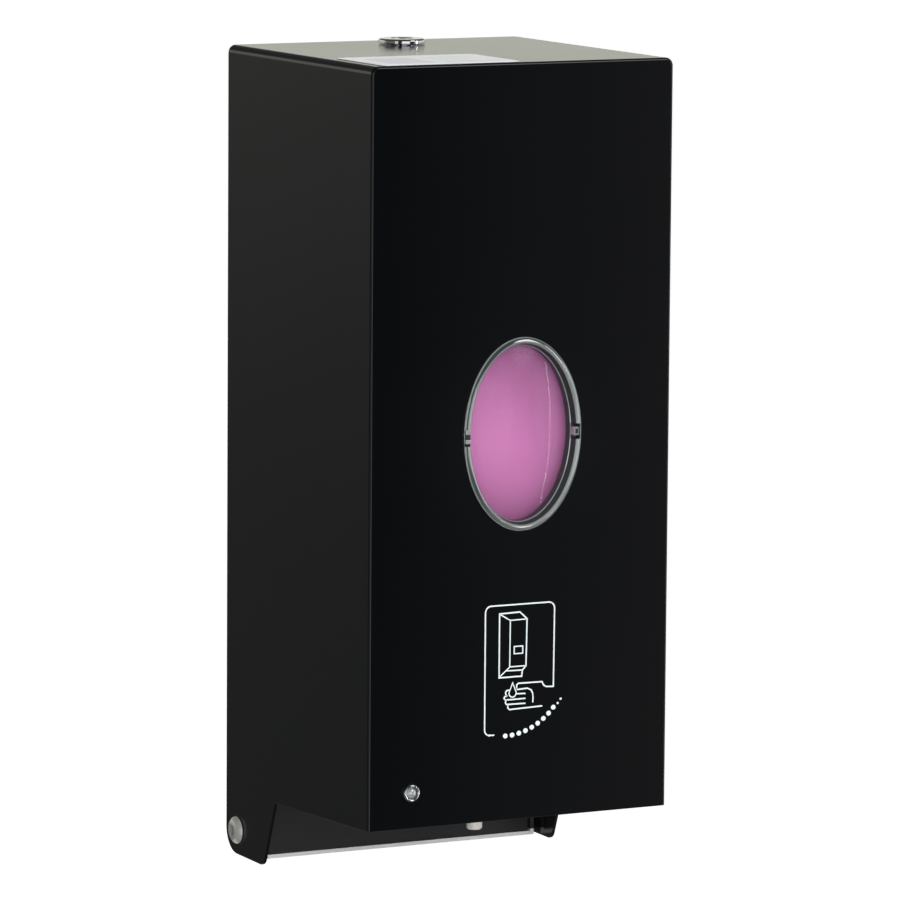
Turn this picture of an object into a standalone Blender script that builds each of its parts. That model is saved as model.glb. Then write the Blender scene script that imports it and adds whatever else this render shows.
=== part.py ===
"""Automatic soap dispenser for a wall, built as the separate pieces it comes apart into.

Lengths are in millimetres until the helpers turn them into metres. X runs to the right, Y into the
wall and Z up. The origin lies on the wall plane, at mid width, level with the cover's lower edge.
"""

import math

import bmesh
import bpy
from mathutils import Matrix

MM = 0.001
GAP = 0.3  # clearance between pieces that touch
MERGE = 0.00001  # metres, for modifiers and welds

# Cover: one folded sheet with front, sides, top and two hinge ears
WIDTH = 125.0
DEPTH = 121.0
HEIGHT = 281.0
SHEET = 1.2
TOP_BEND = 3.0  # along the top's two sides
FRONT_BEND = 1.0  # round the front's outline
BACK_GAP = 0.5
HEM_DROP = 2.4  # fall of the sides' lower edges, from the front to the ears
EAR_BOTTOM = -28.3
EAR_START = -43.0
EAR_TIP = -34.5
EAR_CORNER = 9.5
HALF = WIDTH / 2
HALF_IN = HALF - SHEET
FRONT = -DEPTH
FRONT_IN = FRONT + SHEET
TOP_IN = HEIGHT - SHEET

# Hinge bolts
PIVOT_Y = -10.4
PIVOT_Z = -18.5
BOLT_R = 3.0
BOLT_HEAD_R = 5.4
BOLT_HEAD = 2.5
NUT_R = 5.77  # across corners
NUT_HEIGHT = 5.0

# Wall plate and guard
PLATE = 1.5
PLATE_HALF = 59.8
PLATE_TOP = 277.0
SHELF_FRONT = -22.0
FLANGE_DEPTH = 11.0

# Window in the cover: an upright ellipse
WINDOW_X = 0.3
WINDOW_Z = 144.0
WINDOW_HALF_Z = 36.0
WINDOW_RATIO = 24.4 / 36.0
LENS_BODY = 33.6

# Indicator and lock
LED_X = -44.8
LED_Z = 13.3
LED_R = 3.4
LOCK_Y = -22.0
LOCK_R = 8.9
LOCK_FLANGE = 2.3
BARREL_R = 6.0
BARREL_BOTTOM = 262.0

# Inner chassis
CHASSIS_HALF = 57.4
CHASSIS_BACK = -PLATE - GAP
CHASSIS_WALL = 2.5
CHASSIS_FRONT = -106.0
CHASSIS_TOP = 246.0
SCREW_Z = 238.0
TRAY_Z = (0.5, 3.0)
TANK_SHELF_Z = (73.2, 75.7)

# Tank
TANK_X = (-54.0, 54.0)
TANK_Y = (-110.0, -40.0)
TANK_Z = (76.0, 230.0)
TANK_WALL = 2.0
TANK_CORNER = 8.0
SOAP_LEVEL = 214.0
FILL_X = -33.0
FILL_Y = -78.0
FILL_R = 14.0
NECK = 3.0  # height of the filling neck above the tank
CAP_HINGE_Y = -58.0
CAP_HINGE_Z = TANK_Z[1] + 3.0

# Pump and outlet
OUTLET_Y = -86.0
PUMP_Z = 42.0
PUMP_X = (-9.0, 7.0)
PUMP_MODULE = 1.0
PUMP_TEETH = 11
NOZZLE_R = 3.0
NOZZLE_BOTTOM = -9.9

# Gear train, in two planes beside the pump
MODULE = 0.8
SLACK = 0.15  # added to each centre distance
OUTPUT_TEETH = 36
SMALL_TEETH = 12
LARGE_TEETH = 30
PINION_TEETH = 10
GEAR_PLANE_1 = (11.9, 14.6)
GEAR_PLANE_2 = (15.2, 17.9)
MOTOR_R = 12.0
MOTOR_X = (20.7, 48.7)

PUMP_SPREAD = (PUMP_MODULE * PUMP_TEETH + SLACK) / 2
DRIVE_Y = OUTLET_Y + PUMP_SPREAD
IDLER_Y = OUTLET_Y - PUMP_SPREAD
LAYSHAFT_Y = DRIVE_Y + MODULE * (OUTPUT_TEETH + SMALL_TEETH) / 2 + SLACK
MOTOR_Y = LAYSHAFT_Y + MODULE * (LARGE_TEETH + PINION_TEETH) / 2 + SLACK

# Battery box and board
BATTERY_BOX_X = (-56.0, -20.0)
BATTERY_BOX_Y = (-104.0, -68.0)
BATTERY_BOX_Z = (16.4, 72.8)
BOX_WALL = 1.6
CELL_R = 7.15
CELL_PITCH = 16.0
CELL_Z = (20.4, 70.4)
BOARD_Z = (8.0, 9.6)
SENSOR_Y = -64.0
SENSOR_X = 8.0

# Finishes: colour, roughness, metallic, alpha
BLACK_COAT = ((0.012, 0.013, 0.013), 0.45, 0.0, 1.0)
STAINLESS = ((0.55, 0.55, 0.54), 0.35, 1.0, 1.0)
CHROME = ((0.8, 0.8, 0.8), 0.08, 1.0, 1.0)
BRASS = ((0.6, 0.45, 0.18), 0.3, 1.0, 1.0)
ZINC = ((0.5, 0.5, 0.52), 0.4, 1.0, 1.0)
BLACK_PLASTIC = ((0.02, 0.02, 0.021), 0.5, 0.0, 1.0)
GREY_PLASTIC = ((0.35, 0.36, 0.37), 0.5, 0.0, 1.0)
WHITE_NYLON = ((0.8, 0.79, 0.74), 0.45, 0.0, 1.0)
MILKY_PLASTIC = ((0.85, 0.86, 0.86), 0.35, 0.0, 0.35)
CLEAR_PLASTIC = ((0.9, 0.92, 0.92), 0.05, 0.0, 0.25)
DARK_WINDOW = ((0.05, 0.01, 0.015), 0.1, 0.0, 0.8)
PINK_SOAP = ((0.78, 0.24, 0.52), 0.15, 0.0, 1.0)
RUBBER = ((0.03, 0.03, 0.03), 0.8, 0.0, 1.0)
GREEN_BOARD = ((0.02, 0.14, 0.06), 0.45, 0.0, 1.0)
PAPER_WHITE = ((0.72, 0.73, 0.73), 0.55, 0.0, 1.0)
CELL_SLEEVE = ((0.16, 0.3, 0.38), 0.35, 0.2, 1.0)

# Turns a shape made in its own XY plane so that its own Z lies along the named axis
ALONG = {
    "X": Matrix(((0, 0, 1), (1, 0, 0), (0, 1, 0))).to_4x4(),
    "-X": Matrix(((0, 0, -1), (1, 0, 0), (0, -1, 0))).to_4x4(),
    "Z": Matrix.Identity(4),
    "-Y": Matrix(((1, 0, 0), (0, 0, -1), (0, 1, 0))).to_4x4(),
}


# ---------------------------------------------------------------- scene and helpers

def clear_scene():
    for thing in list(bpy.data.objects):
        bpy.data.objects.remove(thing, do_unlink=True)


def new_collection(name):
    collection = bpy.data.collections.new(name)
    bpy.context.scene.collection.children.link(collection)
    return collection


def paint(thing, finish):
    colour, roughness, metallic, alpha = finish
    material = bpy.data.materials.new(thing.name)
    material.use_nodes = True
    shader = material.node_tree.nodes["Principled BSDF"]
    shader.inputs["Base Color"].default_value = (*colour, 1.0)
    shader.inputs["Roughness"].default_value = roughness
    shader.inputs["Metallic"].default_value = metallic
    shader.inputs["Alpha"].default_value = alpha
    thing.data.materials.clear()
    thing.data.materials.append(material)


def part(thing, finish, smooth=True):
    """Puts a finished piece among the parts, with its material and shading."""
    PARTS.objects.link(thing)
    if smooth:
        thing.data.shade_smooth()
        thing.data.set_sharp_from_angle(angle=math.radians(32))
    paint(thing, finish)
    return thing


def tool(thing):
    """Puts a shape that cuts or joins another among the cutters."""
    CUTTERS.objects.link(thing)
    thing.hide_render = True
    thing.display_type = "WIRE"
    return thing


def combine(thing, other, operation):
    modifier = thing.modifiers.new(operation.title(), "BOOLEAN")
    modifier.operation = operation
    modifier.object = other if other.users_collection else tool(other)
    return thing


def cut(thing, *others):
    for other in others:
        combine(thing, other, "DIFFERENCE")
    return thing


def join(thing, *others):
    for other in others:
        combine(thing, other, "UNION")
    return thing


def ride(empty, *things):
    """Parents pieces to the empty on their joint, leaving them where they are."""
    for thing in things:
        thing.parent = empty
        thing.matrix_parent_inverse = empty.matrix_world.inverted()


def joint_empty(name, x, y, z, parent=None):
    empty = bpy.data.objects.new(name, None)
    PARTS.objects.link(empty)
    empty.matrix_world = Matrix.Translation((x * MM, y * MM, z * MM))
    if parent:
        ride(parent, empty)
    bpy.context.view_layer.update()
    return empty


def box(name, xs, ys, zs, round_edges=0.0, segments=2, keep=None):
    """A block between the limits; keep(middle) picks the edges to round, all of them by default."""
    size = [(hi - lo) * MM for lo, hi in (xs, ys, zs)]
    centre = [(hi + lo) / 2 * MM for lo, hi in (xs, ys, zs)]
    mesh = bpy.data.meshes.new(name)
    shape = bmesh.new()
    bmesh.ops.create_cube(shape, size=1.0, matrix=Matrix.Diagonal((*size, 1.0)))
    if round_edges:
        edges = [e for e in shape.edges if keep is None or keep((e.verts[0].co + e.verts[1].co) / 2)]
        bmesh.ops.bevel(shape, geom=edges, offset=round_edges * MM, segments=segments,
                        profile=0.5, affect="EDGES")
    shape.to_mesh(mesh)
    shape.free()
    thing = bpy.data.objects.new(name, mesh)
    thing.location = centre
    return thing


def lengthwise(middle):
    """True for a box's edges that run along X."""
    return abs(middle.x) < MERGE


def upright(middle):
    return abs(middle.z) < MERGE


def cylinder(name, axis, centre, radius, length, segments=24, stretch=1.0, end_radius=None):
    """A round bar about a centre; stretch scales it along its own X."""
    mesh = bpy.data.meshes.new(name)
    shape = bmesh.new()
    other = radius if end_radius is None else end_radius
    bmesh.ops.create_cone(shape, cap_ends=True, segments=segments, radius1=radius * MM,
                          radius2=other * MM, depth=length * MM)
    bmesh.ops.transform(shape, matrix=Matrix.Diagonal((stretch, 1, 1, 1)), verts=shape.verts)
    shape.to_mesh(mesh)
    shape.free()
    thing = bpy.data.objects.new(name, mesh)
    thing.matrix_world = Matrix.Translation([c * MM for c in centre]) @ ALONG[axis]
    return thing


def bar(name, axis, start, end, radius, segments=24, end_radius=None):
    """A round bar between two points that lie along the axis."""
    length = sum(abs(b - a) for a, b in zip(start, end))
    centre = [(a + b) / 2 for a, b in zip(start, end)]
    return cylinder(name, axis, centre, radius, length, segments, 1.0, end_radius)


def realised(thing):
    """The evaluated mesh of an object, as a new object in the same place."""
    CUTTERS.objects.link(thing)
    bpy.context.view_layer.update()
    graph = bpy.context.evaluated_depsgraph_get()
    mesh = bpy.data.meshes.new_from_object(thing.evaluated_get(graph))
    shape = bmesh.new()
    shape.from_mesh(mesh)
    bmesh.ops.remove_doubles(shape, verts=shape.verts, dist=MERGE)
    shape.to_mesh(mesh)
    shape.free()
    solid = bpy.data.objects.new(thing.name, mesh)
    solid.matrix_world = thing.matrix_world.copy()
    name = thing.name
    bpy.data.objects.remove(thing, do_unlink=True)
    solid.name = name
    return solid


def plate(name, outlines, axis, low, high, at=(0.0, 0.0)):
    """A flat piece: the first outline less the others, between low and high along the axis.

    An outline's points are (Y, Z) for axis X, (X, Z) for axis -Y and (X, Y) for axis Z.
    """
    curve = bpy.data.curves.new(name, "CURVE")
    curve.dimensions = "2D"
    curve.fill_mode = "BOTH"
    curve.extrude = (high - low) / 2 * MM
    for outline in outlines:
        spline = curve.splines.new("POLY")
        spline.points.add(len(outline) - 1)
        for point, (u, v) in zip(spline.points, outline):
            point.co = ((u + at[0]) * MM, (v + at[1]) * MM, 0.0, 1.0)
        spline.use_cyclic_u = True
    thing = bpy.data.objects.new(name, curve)
    middle = (low + high) / 2 * MM
    shift = {"X": (middle, 0, 0), "-Y": (0, middle, 0), "Z": (0, 0, middle)}[axis]
    thing.matrix_world = Matrix.Translation(shift) @ ALONG[axis]
    return realised(thing)


def turned(name, profile, axis, centre, segments=24, stretch=1.0, closed=False):
    """A profile of (radius, height) points, top to bottom on the outer side, turned about the axis."""
    mesh = bpy.data.meshes.new(name)
    shape = bmesh.new()
    points = [shape.verts.new((r * MM, 0.0, h * MM)) for r, h in profile]
    for first, second in zip(points, points[1:]):
        shape.edges.new((first, second))
    if closed:
        shape.edges.new((points[-1], points[0]))
    shape.to_mesh(mesh)
    shape.free()
    thing = bpy.data.objects.new(name, mesh)
    screw = thing.modifiers.new("Screw", "SCREW")
    screw.steps = screw.render_steps = segments
    screw.use_merge_vertices = True
    screw.merge_threshold = MERGE
    solid = realised(thing)
    for vertex in solid.data.vertices:
        vertex.co.x *= stretch
    solid.matrix_world = Matrix.Translation([c * MM for c in centre]) @ ALONG[axis]
    return solid


def arc(cx, cy, radius, start, end, steps):
    """Points along an arc, angles in degrees."""
    angles = [math.radians(start + (end - start) * i / steps) for i in range(steps + 1)]
    return [(cx + radius * math.cos(a), cy + radius * math.sin(a)) for a in angles]


def gear_outline(teeth, module, turn=0.0):
    """Straight-sided teeth with rolled clearance, one tooth centred at the turn angle in degrees."""
    pitch = 2 * math.pi / teeth
    radius = module * teeth / 2
    root, tip = radius - 1.3 * module, radius + 0.85 * module
    points = []
    for i in range(teeth):
        middle = math.radians(turn) + i * pitch
        for r, share in ((root, -0.34), (tip, -0.11), (tip, 0.11), (root, 0.34)):
            points.append((r * math.cos(middle + share * pitch), r * math.sin(middle + share * pitch)))
    return points


def gear(name, teeth, module, plane, y, z, bore, turn=0.0):
    hole = arc(0, 0, bore, 360, 0, 16)[:-1]
    return plate(name, [gear_outline(teeth, module, turn), hole], "X", *plane, at=(y, z))


def screw_piece(name, axis, head_centre, head_r, head_h, shank_r, length, segments=16):
    """A pan-head screw: the head's inner face at the centre, the shank running on along the axis."""
    profile = [(0, head_h), (head_r * 0.7, head_h), (head_r, head_h * 0.45), (head_r, 0),
               (shank_r, 0), (shank_r, -length), (0, -length)]
    thing = turned(name, profile, axis, head_centre, segments)
    hex_socket = cylinder(name + "_socket", axis, head_centre, head_r * 0.42, head_h * 1.2, 6)
    hex_socket.matrix_world = hex_socket.matrix_world @ Matrix.Translation((0, 0, head_h * MM))
    return cut(thing, hex_socket)


# ---------------------------------------------------------------- cover and what it carries

def round_front(thing, radius, segments):
    """Rounds the outline of a block's front face, all but its bottom edge."""
    shape = bmesh.new()
    shape.from_mesh(thing.data)
    front = min(v.co.y for v in shape.verts) + MERGE
    bottom = min(v.co.z for v in shape.verts) + MERGE
    edges = [e for e in shape.edges if all(v.co.y < front for v in e.verts)
             and any(v.co.z > bottom for v in e.verts)]
    bmesh.ops.bevel(shape, geom=edges, offset=radius * MM, segments=segments, profile=0.5, affect="EDGES")
    shape.to_mesh(thing.data)
    shape.free()
    return thing


def build_cover():
    def beside_top(middle):
        """The two edges where the top is bent down into the sides."""
        return abs(middle.y) < MERGE and middle.z > 0

    low = EAR_BOTTOM - 4
    cover = box("cover", (-HALF, HALF), (FRONT, -BACK_GAP), (low, HEIGHT), TOP_BEND, 4, beside_top)
    round_front(cover, FRONT_BEND, 2)
    inside = box("cover_inside", (-HALF_IN, HALF_IN), (FRONT_IN, -FRONT_IN), (low - 5, TOP_IN),
                 TOP_BEND - SHEET, 3, beside_top)
    ear_z = EAR_BOTTOM + 0.4 + EAR_CORNER
    below = plate("cover_profile", [[
        (FRONT - 5, low - 5), (FRONT - 5, 0), (FRONT, 0),
        *arc(EAR_START - 1.2, -HEM_DROP - 1.2, 1.2, 90, 20, 2),
        *arc(EAR_TIP + 3.9, EAR_BOTTOM + 4, 4, 200, 270, 4),
        *arc(-BACK_GAP - EAR_CORNER, ear_z, EAR_CORNER, 270, 360, 6), (5, ear_z), (5, low - 5),
    ]], "X", -HALF - 5, HALF + 5)
    window = cylinder("window_hole", "-Y", (WINDOW_X, FRONT, WINDOW_Z), LENS_BODY + 0.5, 8, 48,
                      WINDOW_RATIO)
    led = cylinder("led_hole", "-Y", (LED_X, FRONT, LED_Z), 3.1, 8, 16)
    lock = cylinder("lock_hole", "Z", (0, LOCK_Y, HEIGHT), BARREL_R + GAP, 8, 24)
    pivots = cylinder("ear_holes", "X", (0, PIVOT_Y, PIVOT_Z), BOLT_R + GAP, WIDTH + 10, 20)
    cut(cover, inside, below, window, led, lock, pivots)
    return part(cover, BLACK_COAT)


def build_window():
    """The clear lens with its bezel, snapped through the front, and the ring that holds it."""
    centre = (WINDOW_X, FRONT, WINDOW_Z)
    rim = WINDOW_HALF_Z
    body = LENS_BODY
    profile = [
        (0, 3.6), (11, 3.3), (21, 2.4), (28, 1.4), (31.2, 0.9), (32.4, 0.5), (33.0, 1.7),
        (35.2, 1.7), (rim, 1.0), (rim, GAP), (body, GAP), (body, -5.0), (body - 1.7, -5.0),
        (body - 1.9, -0.5), (21, 1.0), (11, 1.9), (0, 2.2),
    ]
    lens = turned("window_lens", profile, "-Y", centre, 36, WINDOW_RATIO)
    side = rim * WINDOW_RATIO
    for i, sign in enumerate((-1, 1)):
        x0, x1 = sorted((WINDOW_X + sign * (side - 2.6), WINDOW_X + sign * (side - 0.4)))
        join(lens, box(f"lens_lug_{i}", (x0, x1), (FRONT - 2.2, FRONT - 0.8),
                       (WINDOW_Z - 2, WINDOW_Z + 2)))
    part(lens, CLEAR_PLASTIC)
    inner, outer, back = body + 0.6, body + 5, -SHEET - GAP
    section = [(outer, back), (outer, back - 1.5), (inner, back - 1.5), (inner, back)]
    ring = turned("window_ring", section, "-Y", centre, 40, WINDOW_RATIO, closed=True)
    part(ring, BLACK_PLASTIC)
    return lens, ring


def build_indicator():
    """The chrome bezel and clear lens at the front's lower left corner."""
    centre = (LED_X, FRONT, LED_Z)
    bezel = turned("led_bezel", [
        (LED_R - 0.4, 1.3), (LED_R, 0.9), (LED_R, GAP), (2.8, GAP), (2.8, -5.0), (2.15, -5.0),
        (2.15, 1.0),
    ], "-Y", centre, 20, closed=True)
    lens = turned("led_lens", [(0, 1.5), (1.2, 1.25), (1.85, 0.6), (1.85, -4.5), (0, -4.5)],
                  "-Y", centre, 16)
    return part(bezel, CHROME), part(lens, CLEAR_PLASTIC)


def build_lock():
    """A cam lock through the top: fixed barrel and nut, turning cylinder, hooked cam and screw."""
    centre = (0, LOCK_Y, HEIGHT)
    bottom = BARREL_BOTTOM - HEIGHT
    barrel = turned("lock_barrel", [
        (LOCK_R - 0.9, LOCK_FLANGE), (LOCK_R - 0.2, LOCK_FLANGE - 0.35), (LOCK_R, LOCK_FLANGE - 0.9),
        (LOCK_R, GAP), (BARREL_R, GAP), (BARREL_R, bottom), (4.3, bottom), (4.3, LOCK_FLANGE),
    ], "Z", centre, 32, closed=True)
    nut = plate("lock_nut", [arc(0, 0, 9.8, 0, 300, 5), arc(0, 0, BARREL_R + GAP, 360, 0, 20)[:-1]],
                "Z", TOP_IN - 3.5, TOP_IN - GAP, at=(0, LOCK_Y))
    cylinder_top = HEIGHT + LOCK_FLANGE - 0.2
    turning = turned("lock_cylinder", [
        (0, cylinder_top), (3.6, cylinder_top), (4.0, cylinder_top - 0.4), (4.0, BARREL_BOTTOM + GAP),
        (2.9, BARREL_BOTTOM + GAP), (2.9, BARREL_BOTTOM - 5), (0, BARREL_BOTTOM - 5),
    ], "Z", (0, LOCK_Y, 0), 24)
    key_slot = box("key_slot", (-0.6, 0.6), (LOCK_Y - 2.8, LOCK_Y + 2.8), (HEIGHT - 8, HEIGHT + 5))
    thread = bar("cam_thread", "Z", (0, LOCK_Y, BARREL_BOTTOM - 8), (0, LOCK_Y, BARREL_BOTTOM + 1),
                 1.9, 12)
    cut(turning, key_slot, thread)
    cam = build_cam()
    screw = screw_piece("cam_screw", "Z", (0, LOCK_Y, 0), 4.5, 2.2, 1.6, 4.5)
    screw.matrix_world = (Matrix.Translation((0, LOCK_Y * MM, (BARREL_BOTTOM - 5 - GAP) * MM))
                          @ Matrix.Rotation(math.pi, 4, "X"))
    part(screw, ZINC)
    return (part(barrel, CHROME), part(nut, BRASS)), (part(turning, CHROME), part(cam, ZINC), screw)


def build_cam():
    """The hook, here turned to the side; a quarter turn puts its finger behind the strike."""
    inner, outer = 13.6, 17.4
    arm = math.radians(-60)
    along, across = (math.cos(arm), math.sin(arm)), (-math.sin(arm), math.cos(arm))
    arm_length, arm_half = 12.6, 3.2
    side = [(arm_length * along[0] + s * across[0], arm_length * along[1] + s * across[1])
            for s in (-arm_half, arm_half)]
    hub = arc(0, 0, 6.2, 10, 230, 9)
    outline = [*arc(0, 0, outer, -73, 8, 7), *arc(0, 0, inner, 8, -45, 5), side[1], *hub, side[0]]
    hole = arc(0, 0, 2.9 + GAP, 360, 0, 16)[:-1]
    return plate("lock_cam", [outline, hole], "Z", BARREL_BOTTOM - 2.6, BARREL_BOTTOM - 0.6,
                 at=(0, LOCK_Y))


def build_label():
    label = box("top_label", (-57.0, -0.4), (-119.5, -80.0), (HEIGHT + 0.05, HEIGHT + 0.3))
    return part(label, PAPER_WHITE, smooth=False)


# ---------------------------------------------------------------- wall side

def build_wall_plate():
    """Folded stainless sheet: back, side flanges that carry the hinge bolts, and a bottom shelf."""
    wide = PLATE_HALF - PLATE
    bottom = EAR_BOTTOM
    body = box("wall_plate", (-PLATE_HALF, PLATE_HALF), (SHELF_FRONT, 0), (bottom, PLATE_TOP))
    hollow = box("plate_hollow", (-wide, wide), (SHELF_FRONT - 5, -PLATE), (bottom + PLATE, 300))
    trim = box("plate_trim", (-70, 70), (SHELF_FRONT - 5, -FLANGE_DEPTH), (3, 300))
    pivots = cylinder("tab_holes", "X", (0, PIVOT_Y, PIVOT_Z), BOLT_R + GAP, WIDTH, 20)
    cut(body, hollow, trim, pivots)
    for i, (x, z) in enumerate(((-40, 228), (40, 228), (-40, 52), (40, 52))):
        keyhole = bar(f"keyhole_{i}", "-Y", (x, 5, z), (x, -5, z), 4.5, 16)
        slot = box(f"keyhole_slot_{i}", (x - 2.2, x + 2.2), (-5, 5), (z, z + 11))
        cut(body, keyhole, slot)
    return part(body, STAINLESS)


def build_guard():
    """The black panel between the ears, with a top flange and side returns."""
    back, front = SHELF_FRONT + PLATE, SHELF_FRONT
    low, high = EAR_BOTTOM + PLATE + 0.6, -0.5
    wide = PLATE_HALF - PLATE - GAP
    body = box("lower_guard", (-wide, wide), (front, -2.5), (low, high))
    hollow = box("guard_hollow", (-wide + 7, wide - 7), (back, 5), (low - 5, high - PLATE))
    corner = box("guard_corner", (-70, 70), (back, 5), (low - 5, high - PLATE))
    cut(body, hollow, corner)
    return part(body, BLACK_COAT)


def build_pivots():
    """On each side a bolt from outside, a washer between cover and wall plate, and a nut inside."""
    place = (PIVOT_Y, PIVOT_Z)
    hole = arc(0, 0, BOLT_R + GAP, 360, 0, 20)[:-1]
    inner_face = PLATE_HALF - PLATE - GAP
    for side, sign, axis in (("left", -1, "-X"), ("right", 1, "X")):
        bolt = turned(f"pivot_bolt_{side}", [
            (0, BOLT_HEAD), (2.4, BOLT_HEAD - 0.15), (4.1, BOLT_HEAD - 0.7), (5.0, BOLT_HEAD - 1.5),
            (BOLT_HEAD_R, 0.4), (BOLT_HEAD_R - 0.2, 0), (BOLT_R, 0), (BOLT_R, -12.0), (0, -12.0),
        ], axis, (sign * (HALF + GAP), *place), 24)
        socket = bar(f"socket_{side}", axis, (sign * (HALF + GAP + 0.9), *place),
                     (sign * (HALF + 8), *place), 2.3, 6)
        part(cut(bolt, socket), STAINLESS)
        washer_x = sorted((sign * (PLATE_HALF + 0.2), sign * (HALF_IN - 0.2)))
        washer = plate(f"pivot_washer_{side}", [arc(0, 0, 6.0, 0, 360, 20)[:-1], hole], "X", *washer_x,
                       at=place)
        part(washer, WHITE_NYLON)
        nut_x = sorted((sign * inner_face, sign * (inner_face - NUT_HEIGHT)))
        nut = plate(f"pivot_nut_{side}", [arc(0, 0, NUT_R, 0, 300, 5), hole], "X", *nut_x, at=place)
        part(nut, STAINLESS)


def build_strike():
    """The bracket whose upright lip the lock's hook catches."""
    low, lip_front = 250.0, LOCK_Y + 9.0
    lip_back, upright_front = lip_front + PLATE, CHASSIS_BACK - PLATE
    strike = plate("lock_strike", [[
        (CHASSIS_BACK, low), (lip_front, low), (lip_front, BARREL_BOTTOM), (lip_back, BARREL_BOTTOM),
        (lip_back, low + PLATE), (upright_front, low + PLATE), (upright_front, 272), (CHASSIS_BACK, 272),
    ]], "X", -4.5, 4.5)
    return part(strike, STAINLESS, smooth=False)


def build_chassis():
    """The plastic frame: back panel, side walls, tank shelf and bottom tray."""
    half, back, wall = CHASSIS_HALF, CHASSIS_BACK, CHASSIS_WALL
    body = box("inner_chassis", (-half, half), (-36, back), (TRAY_Z[0], CHASSIS_TOP))
    hollow = box("chassis_hollow", (-half + wall, half - wall), (-50, back - wall), (TRAY_Z[1], 300))
    cut(body, hollow)
    inside = half - 0.4
    for name, zs in (("tank_shelf", TANK_SHELF_Z), ("bottom_tray", TRAY_Z)):
        join(body, box(name, (-inside, inside), (CHASSIS_FRONT, back - 0.5), zs, 4, 2, upright))
    spout = bar("spout_hole", "Z", (0, OUTLET_Y, 60), (0, OUTLET_Y, 90), 8.5, 24)
    nozzle = bar("nozzle_hole", "Z", (0, OUTLET_Y, -5), (0, OUTLET_Y, 8), 4.2, 24)
    sensor = box("sensor_hole", (-14.4, 14.4), (SENSOR_Y - 6.4, SENSOR_Y + 6.4), (-5, 8))
    cut(body, spout, nozzle, sensor)
    for i, x in enumerate((-40, 40)):
        cut(body, bar(f"fixing_hole_{i}", "-Y", (x, 5, 228), (x, -12, 228), 6.5, 20))
        cut(body, bar(f"screw_hole_{i}", "-Y", (x / 2, 5, SCREW_Z), (x / 2, -12, SCREW_Z), 1.9, 12))
    for i, (x, y) in enumerate(((-52, -100), (-24, -100), (-52, -50), (8, -50))):
        join(body, bar(f"standoff_{i}", "Z", (x, y, 2), (x, y, BOARD_Z[0] - GAP), 2.5, 12))
    return part(body, BLACK_PLASTIC)


def build_chassis_screws():
    for i, x in enumerate((-20, 20)):
        y = CHASSIS_BACK - CHASSIS_WALL - GAP
        part(screw_piece(f"chassis_screw_{i + 1}", "-Y", (x, y, SCREW_Z), 3.5, 2.2, 1.5, 2.0), ZINC)


# ---------------------------------------------------------------- tank

def build_tank():
    """The blow-moulded tank with its filling neck, the ears of its cap's hinge and its spout."""
    bottom, top = TANK_Z
    tank = box("soap_tank", TANK_X, TANK_Y, TANK_Z, TANK_CORNER, 2)
    inside = [(lo + TANK_WALL, hi - TANK_WALL) for lo, hi in (TANK_X, TANK_Y, TANK_Z)]
    cavity = box("tank_cavity", *inside, TANK_CORNER - TANK_WALL, 2)
    neck = bar("tank_neck", "Z", (FILL_X, FILL_Y, top - 1), (FILL_X, FILL_Y, top + NECK), FILL_R + 2, 20)
    spout = bar("tank_spout", "Z", (0, OUTLET_Y, 60), (0, OUTLET_Y, bottom + 1), 5.0, 12)
    fill = bar("fill_hole", "Z", (FILL_X, FILL_Y, top - 6), (FILL_X, FILL_Y, top + 9), FILL_R, 20)
    bore = bar("spout_bore", "Z", (0, OUTLET_Y, 50), (0, OUTLET_Y, bottom + 4), 3.5, 12)
    for i, x in enumerate((FILL_X - 12, FILL_X + 12)):
        join(tank, box(f"cap_ear_{i}", (x - 1.5, x + 1.5), (CAP_HINGE_Y - 3, CAP_HINGE_Y + 3),
                       (top - 1, CAP_HINGE_Z + 2.5)))
    pin_hole = bar("cap_pin_hole", "X", (FILL_X - 20, CAP_HINGE_Y, CAP_HINGE_Z),
                   (FILL_X + 20, CAP_HINGE_Y, CAP_HINGE_Z), 1.4, 12)
    join(tank, neck, spout)
    cut(tank, cavity, fill, bore, pin_hole)
    return part(tank, MILKY_PLASTIC)


def build_soap():
    """The soap's own volume, clear of the tank's walls."""
    inset = TANK_WALL + GAP
    (x0, x1), (y0, y1), (z0, _) = TANK_X, TANK_Y, TANK_Z
    below_surface = (SOAP_LEVEL - z0 - inset) / 2 * MM - MERGE
    soap = box("liquid_soap", (x0 + inset, x1 - inset), (y0 + inset, y1 - inset), (z0 + inset, SOAP_LEVEL),
               TANK_CORNER - TANK_WALL, 2, lambda middle: middle.z < below_surface)
    return part(soap, PINK_SOAP)


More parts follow.
